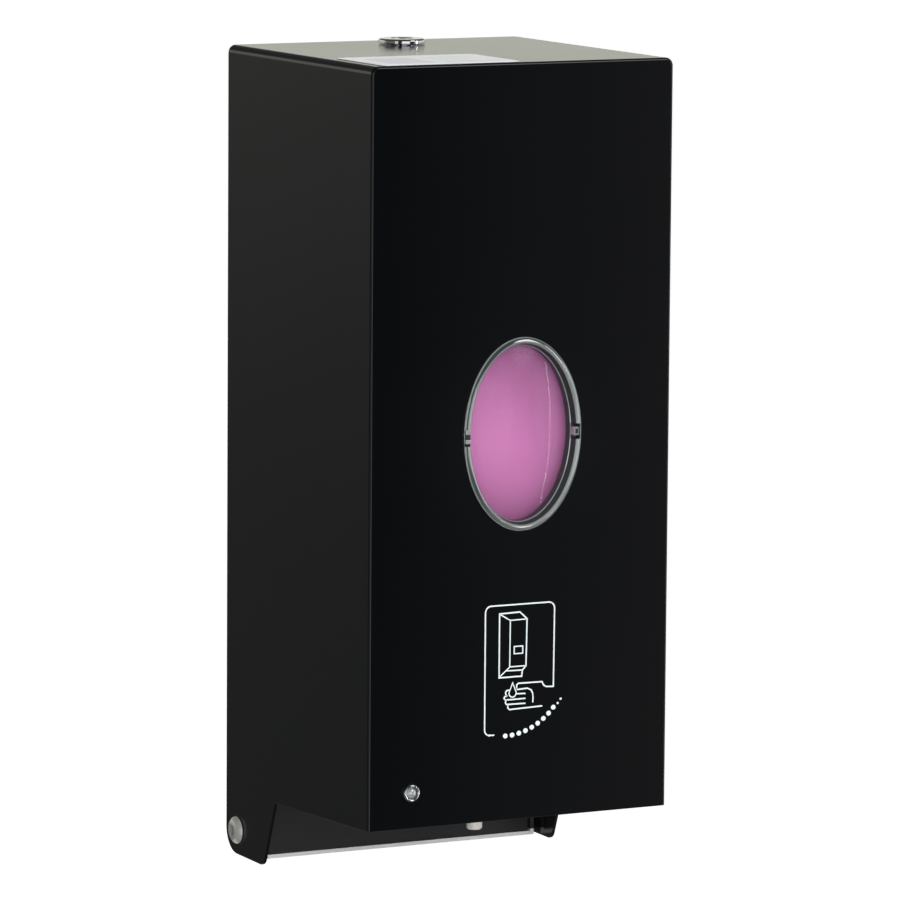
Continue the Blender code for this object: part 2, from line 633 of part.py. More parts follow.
def build_tank_cap():
    """A flap over the filling neck, its gasket, and the pin that they swing on."""
    low = TANK_Z[1] + NECK + 1.3
    high = low + 2.2
    left, right, front, back = FILL_X - 9.5, FILL_X + 9.5, CAP_HINGE_Y - 5, CAP_HINGE_Y - 1
    lid = arc(FILL_X, FILL_Y, FILL_R + 4, 160, 380, 14)
    flap = plate("tank_cap", [[*lid, (right, front), (right, back), (left, back), (left, front)]],
                 "Z", low, high)
    knuckle = bar("cap_knuckle", "X", (FILL_X - 10, CAP_HINGE_Y, CAP_HINGE_Z),
                  (FILL_X + 10, CAP_HINGE_Y, CAP_HINGE_Z), 2.6, 16)
    web = box("cap_web", (left, right), (front, CAP_HINGE_Y), (low, low + 1.2))
    hole = bar("cap_bore", "X", (FILL_X - 15, CAP_HINGE_Y, CAP_HINGE_Z),
               (FILL_X + 15, CAP_HINGE_Y, CAP_HINGE_Z), 1.4, 12)
    rim = FILL_Y - FILL_R
    tab = box("cap_tab", (FILL_X - 5, FILL_X + 5), (rim - 7, rim - 2), (low, high), 1, 1, upright)
    join(flap, knuckle, web, tab)
    cut(flap, hole)
    outer, inner = FILL_R + 1.8, FILL_R - 0.8
    gasket = turned("cap_gasket", [(outer, 1.0), (outer, 0), (inner, 0), (inner, 1.0)], "Z",
                    (FILL_X, FILL_Y, low - 1.1), 32, closed=True)
    pin = bar("cap_pin", "X", (FILL_X - 14.5, CAP_HINGE_Y, CAP_HINGE_Z),
              (FILL_X + 14.5, CAP_HINGE_Y, CAP_HINGE_Z), 1.1, 12)
    part(pin, STAINLESS)
    return part(flap, WHITE_NYLON), part(gasket, RUBBER)


# ---------------------------------------------------------------- pump, gears and motor

def build_pump():
    """A gear pump: housing with two bores, cover plate, gears and shafts."""
    x0, x1 = PUMP_X
    tip = PUMP_MODULE * (PUMP_TEETH / 2 + 0.85)
    ys = (OUTLET_Y - 15, OUTLET_Y + 15)
    housing = box("pump_housing", PUMP_X, ys, (PUMP_Z - 11, PUMP_Z + 11), 3, 2, lengthwise)
    cup = bar("inlet_cup", "Z", (0, OUTLET_Y, PUMP_Z + 10), (0, OUTLET_Y, 65), 8.0, 24)
    stub = bar("outlet_stub", "Z", (0, OUTLET_Y, 23), (0, OUTLET_Y, PUMP_Z - 10), 4.5, 20)
    join(housing, cup, stub)
    pocket = bar("seal_pocket", "Z", (0, OUTLET_Y, 57), (0, OUTLET_Y, 70), 6.6, 24)
    passage = bar("pump_passage", "Z", (0, OUTLET_Y, 10), (0, OUTLET_Y, 60), 2.0, 16)
    bores = [bar(f"pump_bore_{i}", "X", (x0 + 2, y, PUMP_Z), (x1 + 5, y, PUMP_Z), tip + 0.3, 28)
             for i, y in enumerate((DRIVE_Y, IDLER_Y))]
    cut(housing, pocket, passage, *bores)
    screws = [(OUTLET_Y - 11.5, PUMP_Z + 7.2), (OUTLET_Y + 11.5, PUMP_Z - 8.2)]
    for i, (y, z) in enumerate(screws):
        cut(housing, bar(f"screw_hole_{i}", "X", (x0 - 5, y, z), (x1 + 5, y, z), 1.5, 12))
    part(housing, GREY_PLASTIC)

    cover = box("pump_cover", (x1 + GAP, x1 + 2.3), ys, (PUMP_Z - 11, PUMP_Z + 9.6), 3, 2, lengthwise)
    for i, (y, z) in enumerate(screws):
        cut(cover, bar(f"cover_screw_hole_{i}", "X", (x1 - 5, y, z), (x1 + 5, y, z), 1.5, 12))
    for i, y in enumerate((DRIVE_Y, IDLER_Y)):
        cut(cover, bar(f"shaft_hole_{i}", "X", (x1 - 5, y, PUMP_Z), (x1 + 5, y, PUMP_Z), 2.3, 16))
    part(cover, ZINC)
    for i, (y, z) in enumerate(screws):
        screw = screw_piece(f"pump_screw_{i + 1}", "-X", (x0 - GAP, y, z), 2.6, 1.8, 1.25,
                            x1 + 2.0 - x0, 12)
        part(screw, ZINC)

    width = (x0 + 2 + GAP, x1 - GAP)
    drive = gear("pump_drive_gear", PUMP_TEETH, PUMP_MODULE, width, DRIVE_Y, PUMP_Z, 2.15)
    idler = gear("pump_idler_gear", PUMP_TEETH, PUMP_MODULE, width, IDLER_Y, PUMP_Z, 2.15)
    shaft = bar("drive_shaft", "X", (width[0], DRIVE_Y, PUMP_Z),
                (GEAR_PLANE_1[1] + 0.5, DRIVE_Y, PUMP_Z), 2.0, 16)
    idler_pin = bar("idler_shaft", "X", (width[0], IDLER_Y, PUMP_Z), (x1 + 2.1, IDLER_Y, PUMP_Z), 2.0, 16)
    part(idler_pin, STAINLESS)
    return part(drive, WHITE_NYLON), part(idler, WHITE_NYLON), part(shaft, STAINLESS)


def build_gears():
    """Pinion, layshaft gear (large and small wheels in one) and output gear, all meshing."""
    output = gear("output_gear", OUTPUT_TEETH, MODULE, GEAR_PLANE_1, DRIVE_Y, PUMP_Z, 2.15)
    small_turn = 180.0 + 180.0 / SMALL_TEETH
    lay = gear("layshaft_gear", LARGE_TEETH, MODULE, GEAR_PLANE_2, LAYSHAFT_Y, PUMP_Z, 1.65)
    small = gear("layshaft_small", SMALL_TEETH, MODULE, (GEAR_PLANE_1[0], GEAR_PLANE_2[0] + 0.5),
                 LAYSHAFT_Y, PUMP_Z, 1.65, small_turn)
    join(lay, small)
    pinion = plate("motor_pinion", [gear_outline(PINION_TEETH, MODULE, 180.0 + 180.0 / PINION_TEETH)],
                   "X", *GEAR_PLANE_2, at=(MOTOR_Y, PUMP_Z))
    join(pinion, bar("motor_shaft", "X", (GEAR_PLANE_2[0] - 0.8, MOTOR_Y, PUMP_Z),
                     (MOTOR_X[0] + 6, MOTOR_Y, PUMP_Z), 1.0, 12))
    axle = bar("layshaft_axle", "X", (10.9, LAYSHAFT_Y, PUMP_Z), (20.2, LAYSHAFT_Y, PUMP_Z), 1.5, 14)
    part(axle, STAINLESS)
    return part(output, WHITE_NYLON), part(lay, WHITE_NYLON), part(pinion, BRASS)


def build_gear_case():
    """A tray round the gears, closed by a lid that carries the motor."""
    floor, rim = 9.6, GEAR_PLANE_2[1] + 0.6
    case = box("gear_case", (floor, rim), (-99, MOTOR_Y + 14), (24, 60), 3, 2, lengthwise)
    hollow = box("case_hollow", (floor + 1.5, rim + 5), (-97.5, MOTOR_Y + 12.5), (25.5, 58.5), 1.5, 1,
                 lengthwise)
    shaft_hole = bar("case_shaft_hole", "X", (5, DRIVE_Y, PUMP_Z), (15, DRIVE_Y, PUMP_Z), 2.4, 16)
    axle_hole = bar("case_axle_hole", "X", (5, LAYSHAFT_Y, PUMP_Z), (15, LAYSHAFT_Y, PUMP_Z), 1.8, 14)
    part(cut(case, hollow, shaft_hole, axle_hole), GREY_PLASTIC)
    lid = box("gear_case_lid", (rim + GAP, rim + 1.9), (-99, MOTOR_Y + 14), (24, 60), 3, 2, lengthwise)
    boss = bar("lid_boss_hole", "X", (rim - 2, MOTOR_Y, PUMP_Z), (rim + 5, MOTOR_Y, PUMP_Z), 4.0, 16)
    axle = bar("lid_axle_hole", "X", (rim - 2, LAYSHAFT_Y, PUMP_Z), (rim + 5, LAYSHAFT_Y, PUMP_Z), 1.8, 14)
    part(cut(lid, boss, axle), GREY_PLASTIC)


def build_motor():
    x0, x1 = MOTOR_X
    depth = x1 - x0
    profile = [
        (0, depth + 1.2), (3.4, depth + 1.2), (3.4, depth), (MOTOR_R - 1, depth), (MOTOR_R, depth - 1),
        (MOTOR_R, 1), (MOTOR_R - 1, 0), (3.6, 0), (3.6, -1.0), (1.3, -1.0), (1.3, 7.0), (0, 7.0),
    ]
    motor = turned("motor", profile, "X", (x0, MOTOR_Y, PUMP_Z), 28)
    return part(motor, ZINC)


def build_outlet():
    """The seal under the tank's spout, the clear nozzle tube and the valve in its tip."""
    seal = turned("inlet_seal", [(6.3, 62.5), (6.3, 60.5), (5.3, 60.5), (5.3, 62.5)], "Z",
                  (0, OUTLET_Y, 0), 20, closed=True)
    part(seal, RUBBER)
    nozzle = turned("nozzle", [
        (4.6, 22.7), (4.6, 20.0), (NOZZLE_R, 18.5), (NOZZLE_R, NOZZLE_BOTTOM + 0.5),
        (NOZZLE_R - 0.4, NOZZLE_BOTTOM), (1.9, NOZZLE_BOTTOM), (1.9, 22.7),
    ], "Z", (0, OUTLET_Y, 0), 24, closed=True)
    part(nozzle, MILKY_PLASTIC)
    valve = turned("anti_drip_valve", [(1.6, -4.5), (1.6, -6.0), (0.7, -9.5), (0.3, -9.5), (1.0, -4.5)],
                   "Z", (0, OUTLET_Y, 0), 12, closed=True)
    part(valve, RUBBER)


# ---------------------------------------------------------------- power and electronics

def build_battery_box():
    """An open-fronted box; its door slides sideways in front of the pump."""
    xs, ys, zs = BATTERY_BOX_X, BATTERY_BOX_Y, BATTERY_BOX_Z
    body = box("battery_box", xs, ys, zs, 2, 2, lambda middle: middle.y > 0 and abs(middle.z) < MERGE)
    hollow = box("battery_hollow", (xs[0] + BOX_WALL, xs[1] - BOX_WALL), (ys[0] - 5, ys[1] - BOX_WALL),
                 (zs[0] + BOX_WALL, zs[1] - BOX_WALL))
    cut(body, hollow)
    rail, lip = 1.4, 3.0
    for i, (edge, inward) in enumerate(((zs[0], 1), (zs[1], -1))):
        rail_z = sorted((edge, edge + inward * rail))
        lip_z = sorted((edge, edge + inward * lip))
        join(body, box(f"door_rail_{i}", xs, (ys[0] - 3.6, ys[0] + 1), rail_z))
        join(body, box(f"door_lip_{i}", xs, (ys[0] - 3.6, ys[0] - 2.7), lip_z))
    return part(body, BLACK_PLASTIC)


def build_battery_door():
    xs, ys, zs = BATTERY_BOX_X, BATTERY_BOX_Y, BATTERY_BOX_Z
    front, back = ys[0] - 2.4, ys[0] - GAP
    door = box("battery_door", xs, (front, back), (zs[0] + 1.7, zs[1] - 1.7))
    for i in range(4):
        x = xs[0] + 5 + 2.4 * i
        join(door, box(f"door_grip_{i}", (x, x + 1.1), (front - 0.7, front + 0.5), (34, 52)))
    return part(door, BLACK_PLASTIC, smooth=False)


def build_cells():
    middle_x = sum(BATTERY_BOX_X) / 2
    middle_y = (BATTERY_BOX_Y[0] + BATTERY_BOX_Y[1] - BOX_WALL) / 2
    low, high = CELL_Z
    places = [(sx, sy) for sx in (-1, 1) for sy in (-1, 1)]
    for i, (sx, sy) in enumerate(places):
        x, y = middle_x + sx * CELL_PITCH / 2, middle_y + sy * CELL_PITCH / 2
        length = high - low
        profile = [(0, length), (2.6, length), (2.6, length - 1.2), (CELL_R - 0.5, length - 1.2),
                   (CELL_R, length - 1.8), (CELL_R, 0.5), (CELL_R - 0.5, 0), (0, 0)]
        cell = turned(f"battery_{i + 1}", profile, "Z", (x, y, low), 20)
        if sx == sy:
            cell.matrix_world = (Matrix.Translation((x * MM, y * MM, high * MM))
                                 @ Matrix.Rotation(math.pi, 4, "X"))
        part(cell, CELL_SLEEVE)
    contact = box("battery_contacts", (middle_x - 15, middle_x + 15), (middle_y - 14, middle_y + 14),
                  (BATTERY_BOX_Z[0] + BOX_WALL + 0.2, BATTERY_BOX_Z[0] + BOX_WALL + 0.7))
    for i, (sx, sy) in enumerate(places):
        x, y = middle_x + sx * CELL_PITCH / 2, middle_y + sy * CELL_PITCH / 2
        z = BATTERY_BOX_Z[0] + BOX_WALL + 0.5
        spring = bar(f"contact_spring_{i}", "Z", (x, y, z), (x, y, low - 0.2), 3.6, 12, end_radius=2.4)
        join(contact, spring)
    part(contact, ZINC)


def build_board():
    """The L-shaped circuit board, its indicator, and the infrared pair that looks down."""
    outline = [(-55.5, -105.5), (-21, -105.5), (-21, -72), (14, -72), (14, -45), (-55.5, -45)]
    part(plate("circuit_board", [outline], "Z", *BOARD_Z), GREEN_BOARD, smooth=False)
    led = turned("indicator_led", [
        (0, 6.0), (1.2, 5.7), (1.9, 4.8), (1.9, 0.6), (2.4, 0.6), (2.4, 0), (0, 0),
    ], "-Y", (LED_X, -106.5, LED_Z), 16)
    part(led, CLEAR_PLASTIC)
    for name, x in (("ir_emitter", -SENSOR_X), ("ir_receiver", SENSOR_X)):
        eye = turned(name, [
            (0, 0), (2.9, 0), (2.9, -1.0), (2.5, -1.0), (2.5, -2.6), (1.6, -4.2), (0, -4.8),
        ], "Z", (x, SENSOR_Y, BOARD_Z[0] - 0.2), 16)
        part(eye, DARK_WINDOW)
    window = box("sensor_window", (-14.1, 14.1), (SENSOR_Y - 6.1, SENSOR_Y + 6.1),
                 (TRAY_Z[0] - 0.2, TRAY_Z[1] - 0.6))
    part(window, DARK_WINDOW, smooth=False)


def build_switch():
    body = box("switch_body", (28, 44), (-106.5, -98), (TRAY_Z[1] + GAP, 11.5), 0.8, 1)
    groove = box("switch_groove", (31, 41), (-112, -104.5), (5.4, 9.4))
    part(cut(body, groove), BLACK_PLASTIC)
    knob = box("switch_knob", (31.5, 36.5), (-109.5, -104.8), (5.8, 9.0))
    return part(knob, GREY_PLASTIC, smooth=False)


# ---------------------------------------------------------------- assembly

def main():
    build_wall_plate()
    build_guard()
    build_pivots()
    build_strike()
    build_chassis()
    build_chassis_screws()
    build_tank()
    build_soap()
    build_gear_case()
    build_motor()
    build_outlet()
    build_battery_box()
    build_cells()
    build_board()

    cover_hinge = joint_empty("cover_hinge", 0, PIVOT_Y, PIVOT_Z)
    lock_axis = joint_empty("lock_axis", 0, LOCK_Y, HEIGHT, cover_hinge)
    fixed_lock, turning_lock = build_lock()
    ride(cover_hinge, build_cover(), *build_window(), *build_indicator(), build_label(), *fixed_lock)
    ride(lock_axis, *turning_lock)
    ride(joint_empty("cap_hinge", FILL_X, CAP_HINGE_Y, CAP_HINGE_Z), *build_tank_cap())
    ride(joint_empty("battery_door_slide", -38, BATTERY_BOX_Y[0], 43), build_battery_door())
    ride(joint_empty("switch_slide", 34, -107, 7.5), build_switch())

    pump_drive, pump_idler, shaft = build_pump()
    output, layshaft, pinion = build_gears()
    ride(joint_empty("output_axis", 0, DRIVE_Y, PUMP_Z), pump_drive, shaft, output)
    ride(joint_empty("idler_axis", 0, IDLER_Y, PUMP_Z), pump_idler)
    ride(joint_empty("layshaft_axis", 0, LAYSHAFT_Y, PUMP_Z), layshaft)
    ride(joint_empty("motor_axis", 0, MOTOR_Y, PUMP_Z), pinion)


clear_scene()
PARTS = new_collection("Wall soap dispenser")
CUTTERS = new_collection("Cutters")
main()
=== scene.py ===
"""Looks of a wall-mounted automatic soap dispenser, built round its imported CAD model.

Lengths are in millimetres until the helpers turn them into metres. X runs to the right, Y into the
wall and Z up, as in the CAD.
"""

import math

import bmesh
import bpy
from mathutils import Matrix, Vector


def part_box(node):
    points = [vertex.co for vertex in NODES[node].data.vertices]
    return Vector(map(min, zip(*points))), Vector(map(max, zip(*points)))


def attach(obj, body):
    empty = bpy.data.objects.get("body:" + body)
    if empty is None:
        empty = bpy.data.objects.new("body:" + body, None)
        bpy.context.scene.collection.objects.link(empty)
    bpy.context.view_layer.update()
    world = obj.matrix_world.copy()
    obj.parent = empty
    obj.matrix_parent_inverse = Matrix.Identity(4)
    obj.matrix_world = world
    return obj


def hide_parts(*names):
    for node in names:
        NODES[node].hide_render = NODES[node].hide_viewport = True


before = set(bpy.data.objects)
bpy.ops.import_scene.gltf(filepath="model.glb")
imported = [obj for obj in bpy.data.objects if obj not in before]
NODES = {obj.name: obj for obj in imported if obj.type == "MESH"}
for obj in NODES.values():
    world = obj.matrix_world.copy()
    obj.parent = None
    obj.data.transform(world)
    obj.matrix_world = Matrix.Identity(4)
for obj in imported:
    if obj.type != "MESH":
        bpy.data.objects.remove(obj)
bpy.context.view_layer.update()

MM = 0.001
MERGE = 0.00001  # metres
GAP = 0.3

# Camera: its angles in degrees, distance and lens, and the point that it looks at, in metres
AZIMUTH, ELEVATION, ROLL = -27.4657, 7.6745, 0.4144
DISTANCE = 2.4355
LENS = 258.86
AIM = (0.000849, -0.062414, 0.130806)
LIT_POINT = Vector((0.0, -0.06, 0.13))

# Cover sheet
SHEET = 1.2
TOP_BEND = 3.0  # along the top's two sides
FRONT_BEND = 1.0  # round the front's outline
BACK_GAP = 0.5
HEM_DROP = 2.4  # fall of the sides' lower edges, from the front to the ears
EAR_START = -43.0
EAR_TIP = -34.5
EAR_CORNER = 9.5
BOLT_HEAD = 2.5

# Turns a shape made in its own XY plane so that its own Z lies along the named axis
ALONG = {
    "X": Matrix(((0, 0, 1), (1, 0, 0), (0, 1, 0))).to_4x4(),
    "-X": Matrix(((0, 0, -1), (1, 0, 0), (0, -1, 0))).to_4x4(),
    "Z": Matrix.Identity(4),
    "-Y": Matrix(((1, 0, 0), (0, 0, -1), (0, 1, 0))).to_4x4(),
}


def span(node):
    """Lowest and highest corner of a CAD node, in millimetres."""
    low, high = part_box(node)
    return low / MM, high / MM


def middle(node):
    low, high = span(node)
    return (low + high) / 2


def half_size(node):
    low, high = span(node)
    return (high - low) / 2


def on_front(node):
    """The middle of something that the cover's front carries, in the front's plane."""
    spot = middle(node)
    return Vector((spot.x, span("cover")[0].y, spot.z))


# ---------------------------------------------------------------- materials

def feed(tree, node, inputs):
    """Sets or links a node's inputs, and returns the node."""
    for key, value in inputs.items():
        if isinstance(value, bpy.types.NodeSocket):
            tree.links.new(value, node.inputs[key])
        else:
            node.inputs[key].default_value = value
    return node


def add_node(tree, kind, inputs=None, **settings):
    node = tree.nodes.new(kind)
    for key, value in settings.items():
        setattr(node, key, value)
    return feed(tree, node, inputs or {})


def new_material(name):
    made = bpy.data.materials.new(name)
    made.use_nodes = True
    return made, made.node_tree


def dress(made, colour, rough, height=None, depth=0.0, strength=0.8, **others):
    """Gives a material its colour, its roughness and a bump, whose depth is in millimetres."""
    tree = made.node_tree
    sockets = {"Base Color": colour, "Roughness": rough, **others}
    if height:
        sockets["Normal"] = add_node(tree, "ShaderNodeBump", {
            "Height": height, "Distance": depth * MM, "Strength": strength,
        }).outputs["Normal"]
    feed(tree, tree.nodes["Principled BSDF"], sockets)
    return made


def local(tree, stretch=(1.0, 1.0, 1.0)):
    coords = add_node(tree, "ShaderNodeTexCoord").outputs["Object"]
    return add_node(tree, "ShaderNodeMapping", {"Vector": coords, "Scale": stretch}).outputs["Vector"]


def axes(tree):
    return add_node(tree, "ShaderNodeSeparateXYZ", {"Vector": local(tree)}).outputs


def noise(tree, size, detail=2.0, stretch=(1.0, 1.0, 1.0)):
    """Noise whose features are about as long as size, in millimetres."""
    return add_node(tree, "ShaderNodeTexNoise", {
        "Vector": local(tree, stretch), "Scale": 1.0 / (size * MM), "Detail": detail, "Roughness": 0.55,
    }).outputs["Fac"]


def scaled(tree, value, low, high, start=0.3, end=0.7):
    return add_node(tree, "ShaderNodeMapRange", {
        "Value": value, "From Min": start, "From Max": end, "To Min": low, "To Max": high,
    }).outputs["Result"]


def maths(tree, operation, first, second=0.0):
    return add_node(tree, "ShaderNodeMath", {0: first, 1: second}, operation=operation).outputs[0]


def times(tree, first, second):
    return maths(tree, "MULTIPLY", first, second)


def opaque(colour):
    return colour if isinstance(colour, bpy.types.NodeSocket) else (*colour, 1.0)


def blend_colours(tree, share, first, second, how="MIX"):
    return add_node(tree, "ShaderNodeMix", {0: share, 6: opaque(first), 7: opaque(second)},
                    data_type="RGBA", blend_type=how).outputs[2]


def mottled(tree, cloud, first, second):
    return blend_colours(tree, scaled(tree, cloud, 0.0, 1.0), first, second)


def tone(colour, factor):
    return tuple(min(1.0, c * factor) for c in colour)


def edge_wear_and_sheen(tree, radius):
    """Near 1 along edges sharper than the radius, and 0 on flats."""
    bevel = add_node(tree, "ShaderNodeBevel", {"Radius": radius * MM}, samples=6).outputs[0]
    normal = add_node(tree, "ShaderNodeNewGeometry").outputs["Normal"]
    facing = add_node(tree, "ShaderNodeVectorMath", {0: bevel, 1: normal}, operation="DOT_PRODUCT")
    return scaled(tree, facing.outputs["Value"], 1.0, 0.0, 0.86, 0.985)


def surface(name, colour, rough, metal=0.0, shade=0.12, spread=0.06, patch=35.0, grain=1.0, relief=0.004,
            stretch=(1.0, 1.0, 1.0), wear_and_sheen=None, right=None, **sockets):
    """The common finish: cloudy colour and roughness with a fine relief.

    Edges get lighter if their width and colour are given, partly as wear and partly as a painted highlight
    along bends and hems; right is the colour reached at the object's right side, painted lighter there as
    shade.
    """
    made, tree = new_material(name)
    cloud, fine = noise(tree, patch, 4.0), noise(tree, grain, 3.0, stretch)
    both = maths(tree, "ADD", times(tree, cloud, 0.5), times(tree, fine, 0.5))
    base = mottled(tree, both, tone(colour, 1 - shade), tone(colour, 1 + shade))
    # Painted shade: the colour turns lighter towards the object's right side, where more light falls
    if right:
        base = blend_colours(tree, scaled(tree, axes(tree)[0], 0.0, 1.0, -60 * MM, 62 * MM), base, right)
    # Lighter edges: partly wear, partly a painted highlight along bends and hems
    if wear_and_sheen:
        width, worn_and_lit = wear_and_sheen
        rubbed_and_lit = times(tree, edge_wear_and_sheen(tree, width), scaled(tree, fine, 0.35, 1.0))
        base = blend_colours(tree, rubbed_and_lit, base, worn_and_lit)
    return dress(made, base, scaled(tree, both, rough - spread, rough + spread), fine, relief,
                 Metallic=metal, **sockets)


def clear_surface(name, tint, opacity, gloss, rough, left=None):
    """Clear plastic with a sheen that grows towards grazing views; left is its tint on the left side, painted
    there as shade.
    """
    made, tree = new_material(name)
    cloud = noise(tree, 14.0, 3.0)
    base = mottled(tree, cloud, tone(tint, 0.9), tint)
    # Painted shade: a darker tint towards the left side
    if left:
        x, _, z = axes(tree)
        across = maths(tree, "ADD", x, times(tree, z, -0.35))
        base = blend_colours(tree, scaled(tree, across, 0.0, 1.0, -62 * MM, -36 * MM), left, base)
    roughness = scaled(tree, cloud, rough * 0.9, rough * 1.15)
    dress(made, base, roughness)
    fresnel = add_node(tree, "ShaderNodeFresnel", {"IOR": 1.49}).outputs[0]
    sheen = maths(tree, "ADD", times(tree, fresnel, gloss), opacity)
    inward = add_node(tree, "ShaderNodeNewGeometry").outputs["Backfacing"]
    share = times(tree, sheen, maths(tree, "SUBTRACT", 1.0, inward))
    passing = add_node(tree, "ShaderNodeBsdfTransparent")
    glaze = add_node(tree, "ShaderNodeBsdfGlossy", {"Color": (0.95, 0.97, 0.97, 1.0), "Roughness": roughness})
    inner = add_node(tree, "ShaderNodeMixShader", {"Fac": share, 1: passing.outputs[0], 2: glaze.outputs[0]})
    body = add_node(tree, "ShaderNodeMixShader", {
        "Fac": opacity, 1: inner.outputs[0], 2: tree.nodes["Principled BSDF"].outputs[0],
    })
    feed(tree, tree.nodes["Material Output"], {"Surface": body.outputs[0]})
    return made


def board_surface():
    """Green solder mask over faint copper tracks."""
    made, tree = new_material("green_board")
    tracks = add_node(tree, "ShaderNodeTexBrick", {
        "Vector": local(tree), "Scale": 1.0, "Mortar Size": 0.00035, "Mortar Smooth": 0.2,
        "Brick Width": 0.0085, "Row Height": 0.0021,
    }).outputs["Fac"]
    cloud = noise(tree, 12.0, 3.0)
    mask = times(tree, tracks, scaled(tree, cloud, 0.0, 1.0, 0.42, 0.52))
    base = blend_colours(tree, mask, (0.008, 0.085, 0.035), (0.03, 0.19, 0.07))
    return dress(made, base, scaled(tree, cloud, 0.26, 0.4), mask, 0.04, 0.6)


def within(tree, value, low, high):
    return times(tree, maths(tree, "GREATER_THAN", value, low), maths(tree, "LESS_THAN", value, high))


def label_surface():
    """Pale label stock with a few grey bars and a block, and no lettering."""
    made, tree = new_material("label_stock")
    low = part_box("top_label")[0]
    fibre = noise(tree, 0.5, 3.0)
    x, y, _ = axes(tree)
    ink = 0.0
    for x0, x1, y0, y1 in ((6, 25, 6, 30), (30, 52, 28, 30.2), (30, 46, 23.5, 25.2), (30, 50, 19, 20.7),
                           (30, 43, 14.5, 16.2), (30, 52, 7, 10)):
        ink = maths(tree, "MAXIMUM", ink, times(tree, within(tree, x, low.x + x0 * MM, low.x + x1 * MM),
                                                within(tree, y, low.y + y0 * MM, low.y + y1 * MM)))
    paper = mottled(tree, fibre, (0.76, 0.77, 0.78), (0.84, 0.85, 0.86))
    base = blend_colours(tree, times(tree, ink, 0.25), paper, (0.28, 0.29, 0.31))
    return dress(made, base, scaled(tree, fibre, 0.42, 0.6), fibre, 0.01, 0.6)


def cell_surface():
    """A battery's shrink sleeve: dark, with a coppery band towards the positive end."""
    made, tree = new_material("cell_sleeve")
    low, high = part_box("battery_1")
    band = within(tree, axes(tree)[2], low.z + 0.3 * (high.z - low.z), high.z)
    scuff = noise(tree, 5.0, 4.0)
    base = blend_colours(tree, band, (0.014, 0.016, 0.02), (0.42, 0.2, 0.075))
    base = blend_colours(tree, scaled(tree, scuff, 0.0, 0.25), base, (0.25, 0.24, 0.23))
    return dress(made, base, scaled(tree, scuff, 0.25, 0.4), **{
        "Metallic": scaled(tree, band, 0.0, 0.75, 0.0, 1.0), "Coat Weight": 0.5, "Coat Roughness": 0.08,
    })


def tank_surface():
    """Milky plastic, a little thinner and clearer where the cover's window looks at it."""
    made, tree = new_material("milky_plastic")
    low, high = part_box("window_lens")
    x, _, z = axes(tree)
    away = 0.0
    across, up = (low.x + high.x) / 2 + 6 * MM, (low.z + high.z) / 2
    for value, centre, reach in ((x, across, 55 * MM), (z, up, 80 * MM)):
        offset = maths(tree, "DIVIDE", maths(tree, "SUBTRACT", value, centre), reach)
        away = maths(tree, "ADD", away, times(tree, offset, offset))
    cloud = noise(tree, 1.5, 3.0)
    return dress(made, mottled(tree, cloud, (0.80, 0.81, 0.81), (0.88, 0.89, 0.89)),
                 scaled(tree, cloud, 0.25, 0.35), cloud, 0.003,
                 Alpha=scaled(tree, away, 0.03, 0.13, 0.6, 1.4))


def plate_surface():
    """Black paint, with a light grey metallic band along the plate's lower edge."""
    made, tree = new_material("back_plate")
    grain = noise(tree, 0.35, 3.0, (0.03, 1.0, 1.0))
    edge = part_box("wall_plate")[0].z + 2.2 * MM
    painted = scaled(tree, axes(tree)[2], 0.0, 1.0, edge, edge + 0.1 * MM)
    light_band = mottled(tree, grain, (0.64, 0.64, 0.63), (0.74, 0.74, 0.73))
    coat = mottled(tree, noise(tree, 25.0), (0.012, 0.012, 0.0125), (0.018, 0.018, 0.0185))
    base = blend_colours(tree, painted, light_band, coat)
    return dress(made, base, scaled(tree, grain, 0.36, 0.46), grain, 0.003,
                 Metallic=scaled(tree, painted, 0.35, 0.0, 0.0, 1.0))


SPECULAR, COAT = "Specular IOR Level", "Coat Weight"
GLOW, GLOW_DEPTH = "Subsurface Weight", "Subsurface Scale"
BRUSHED = (0.03, 1.0, 1.0)

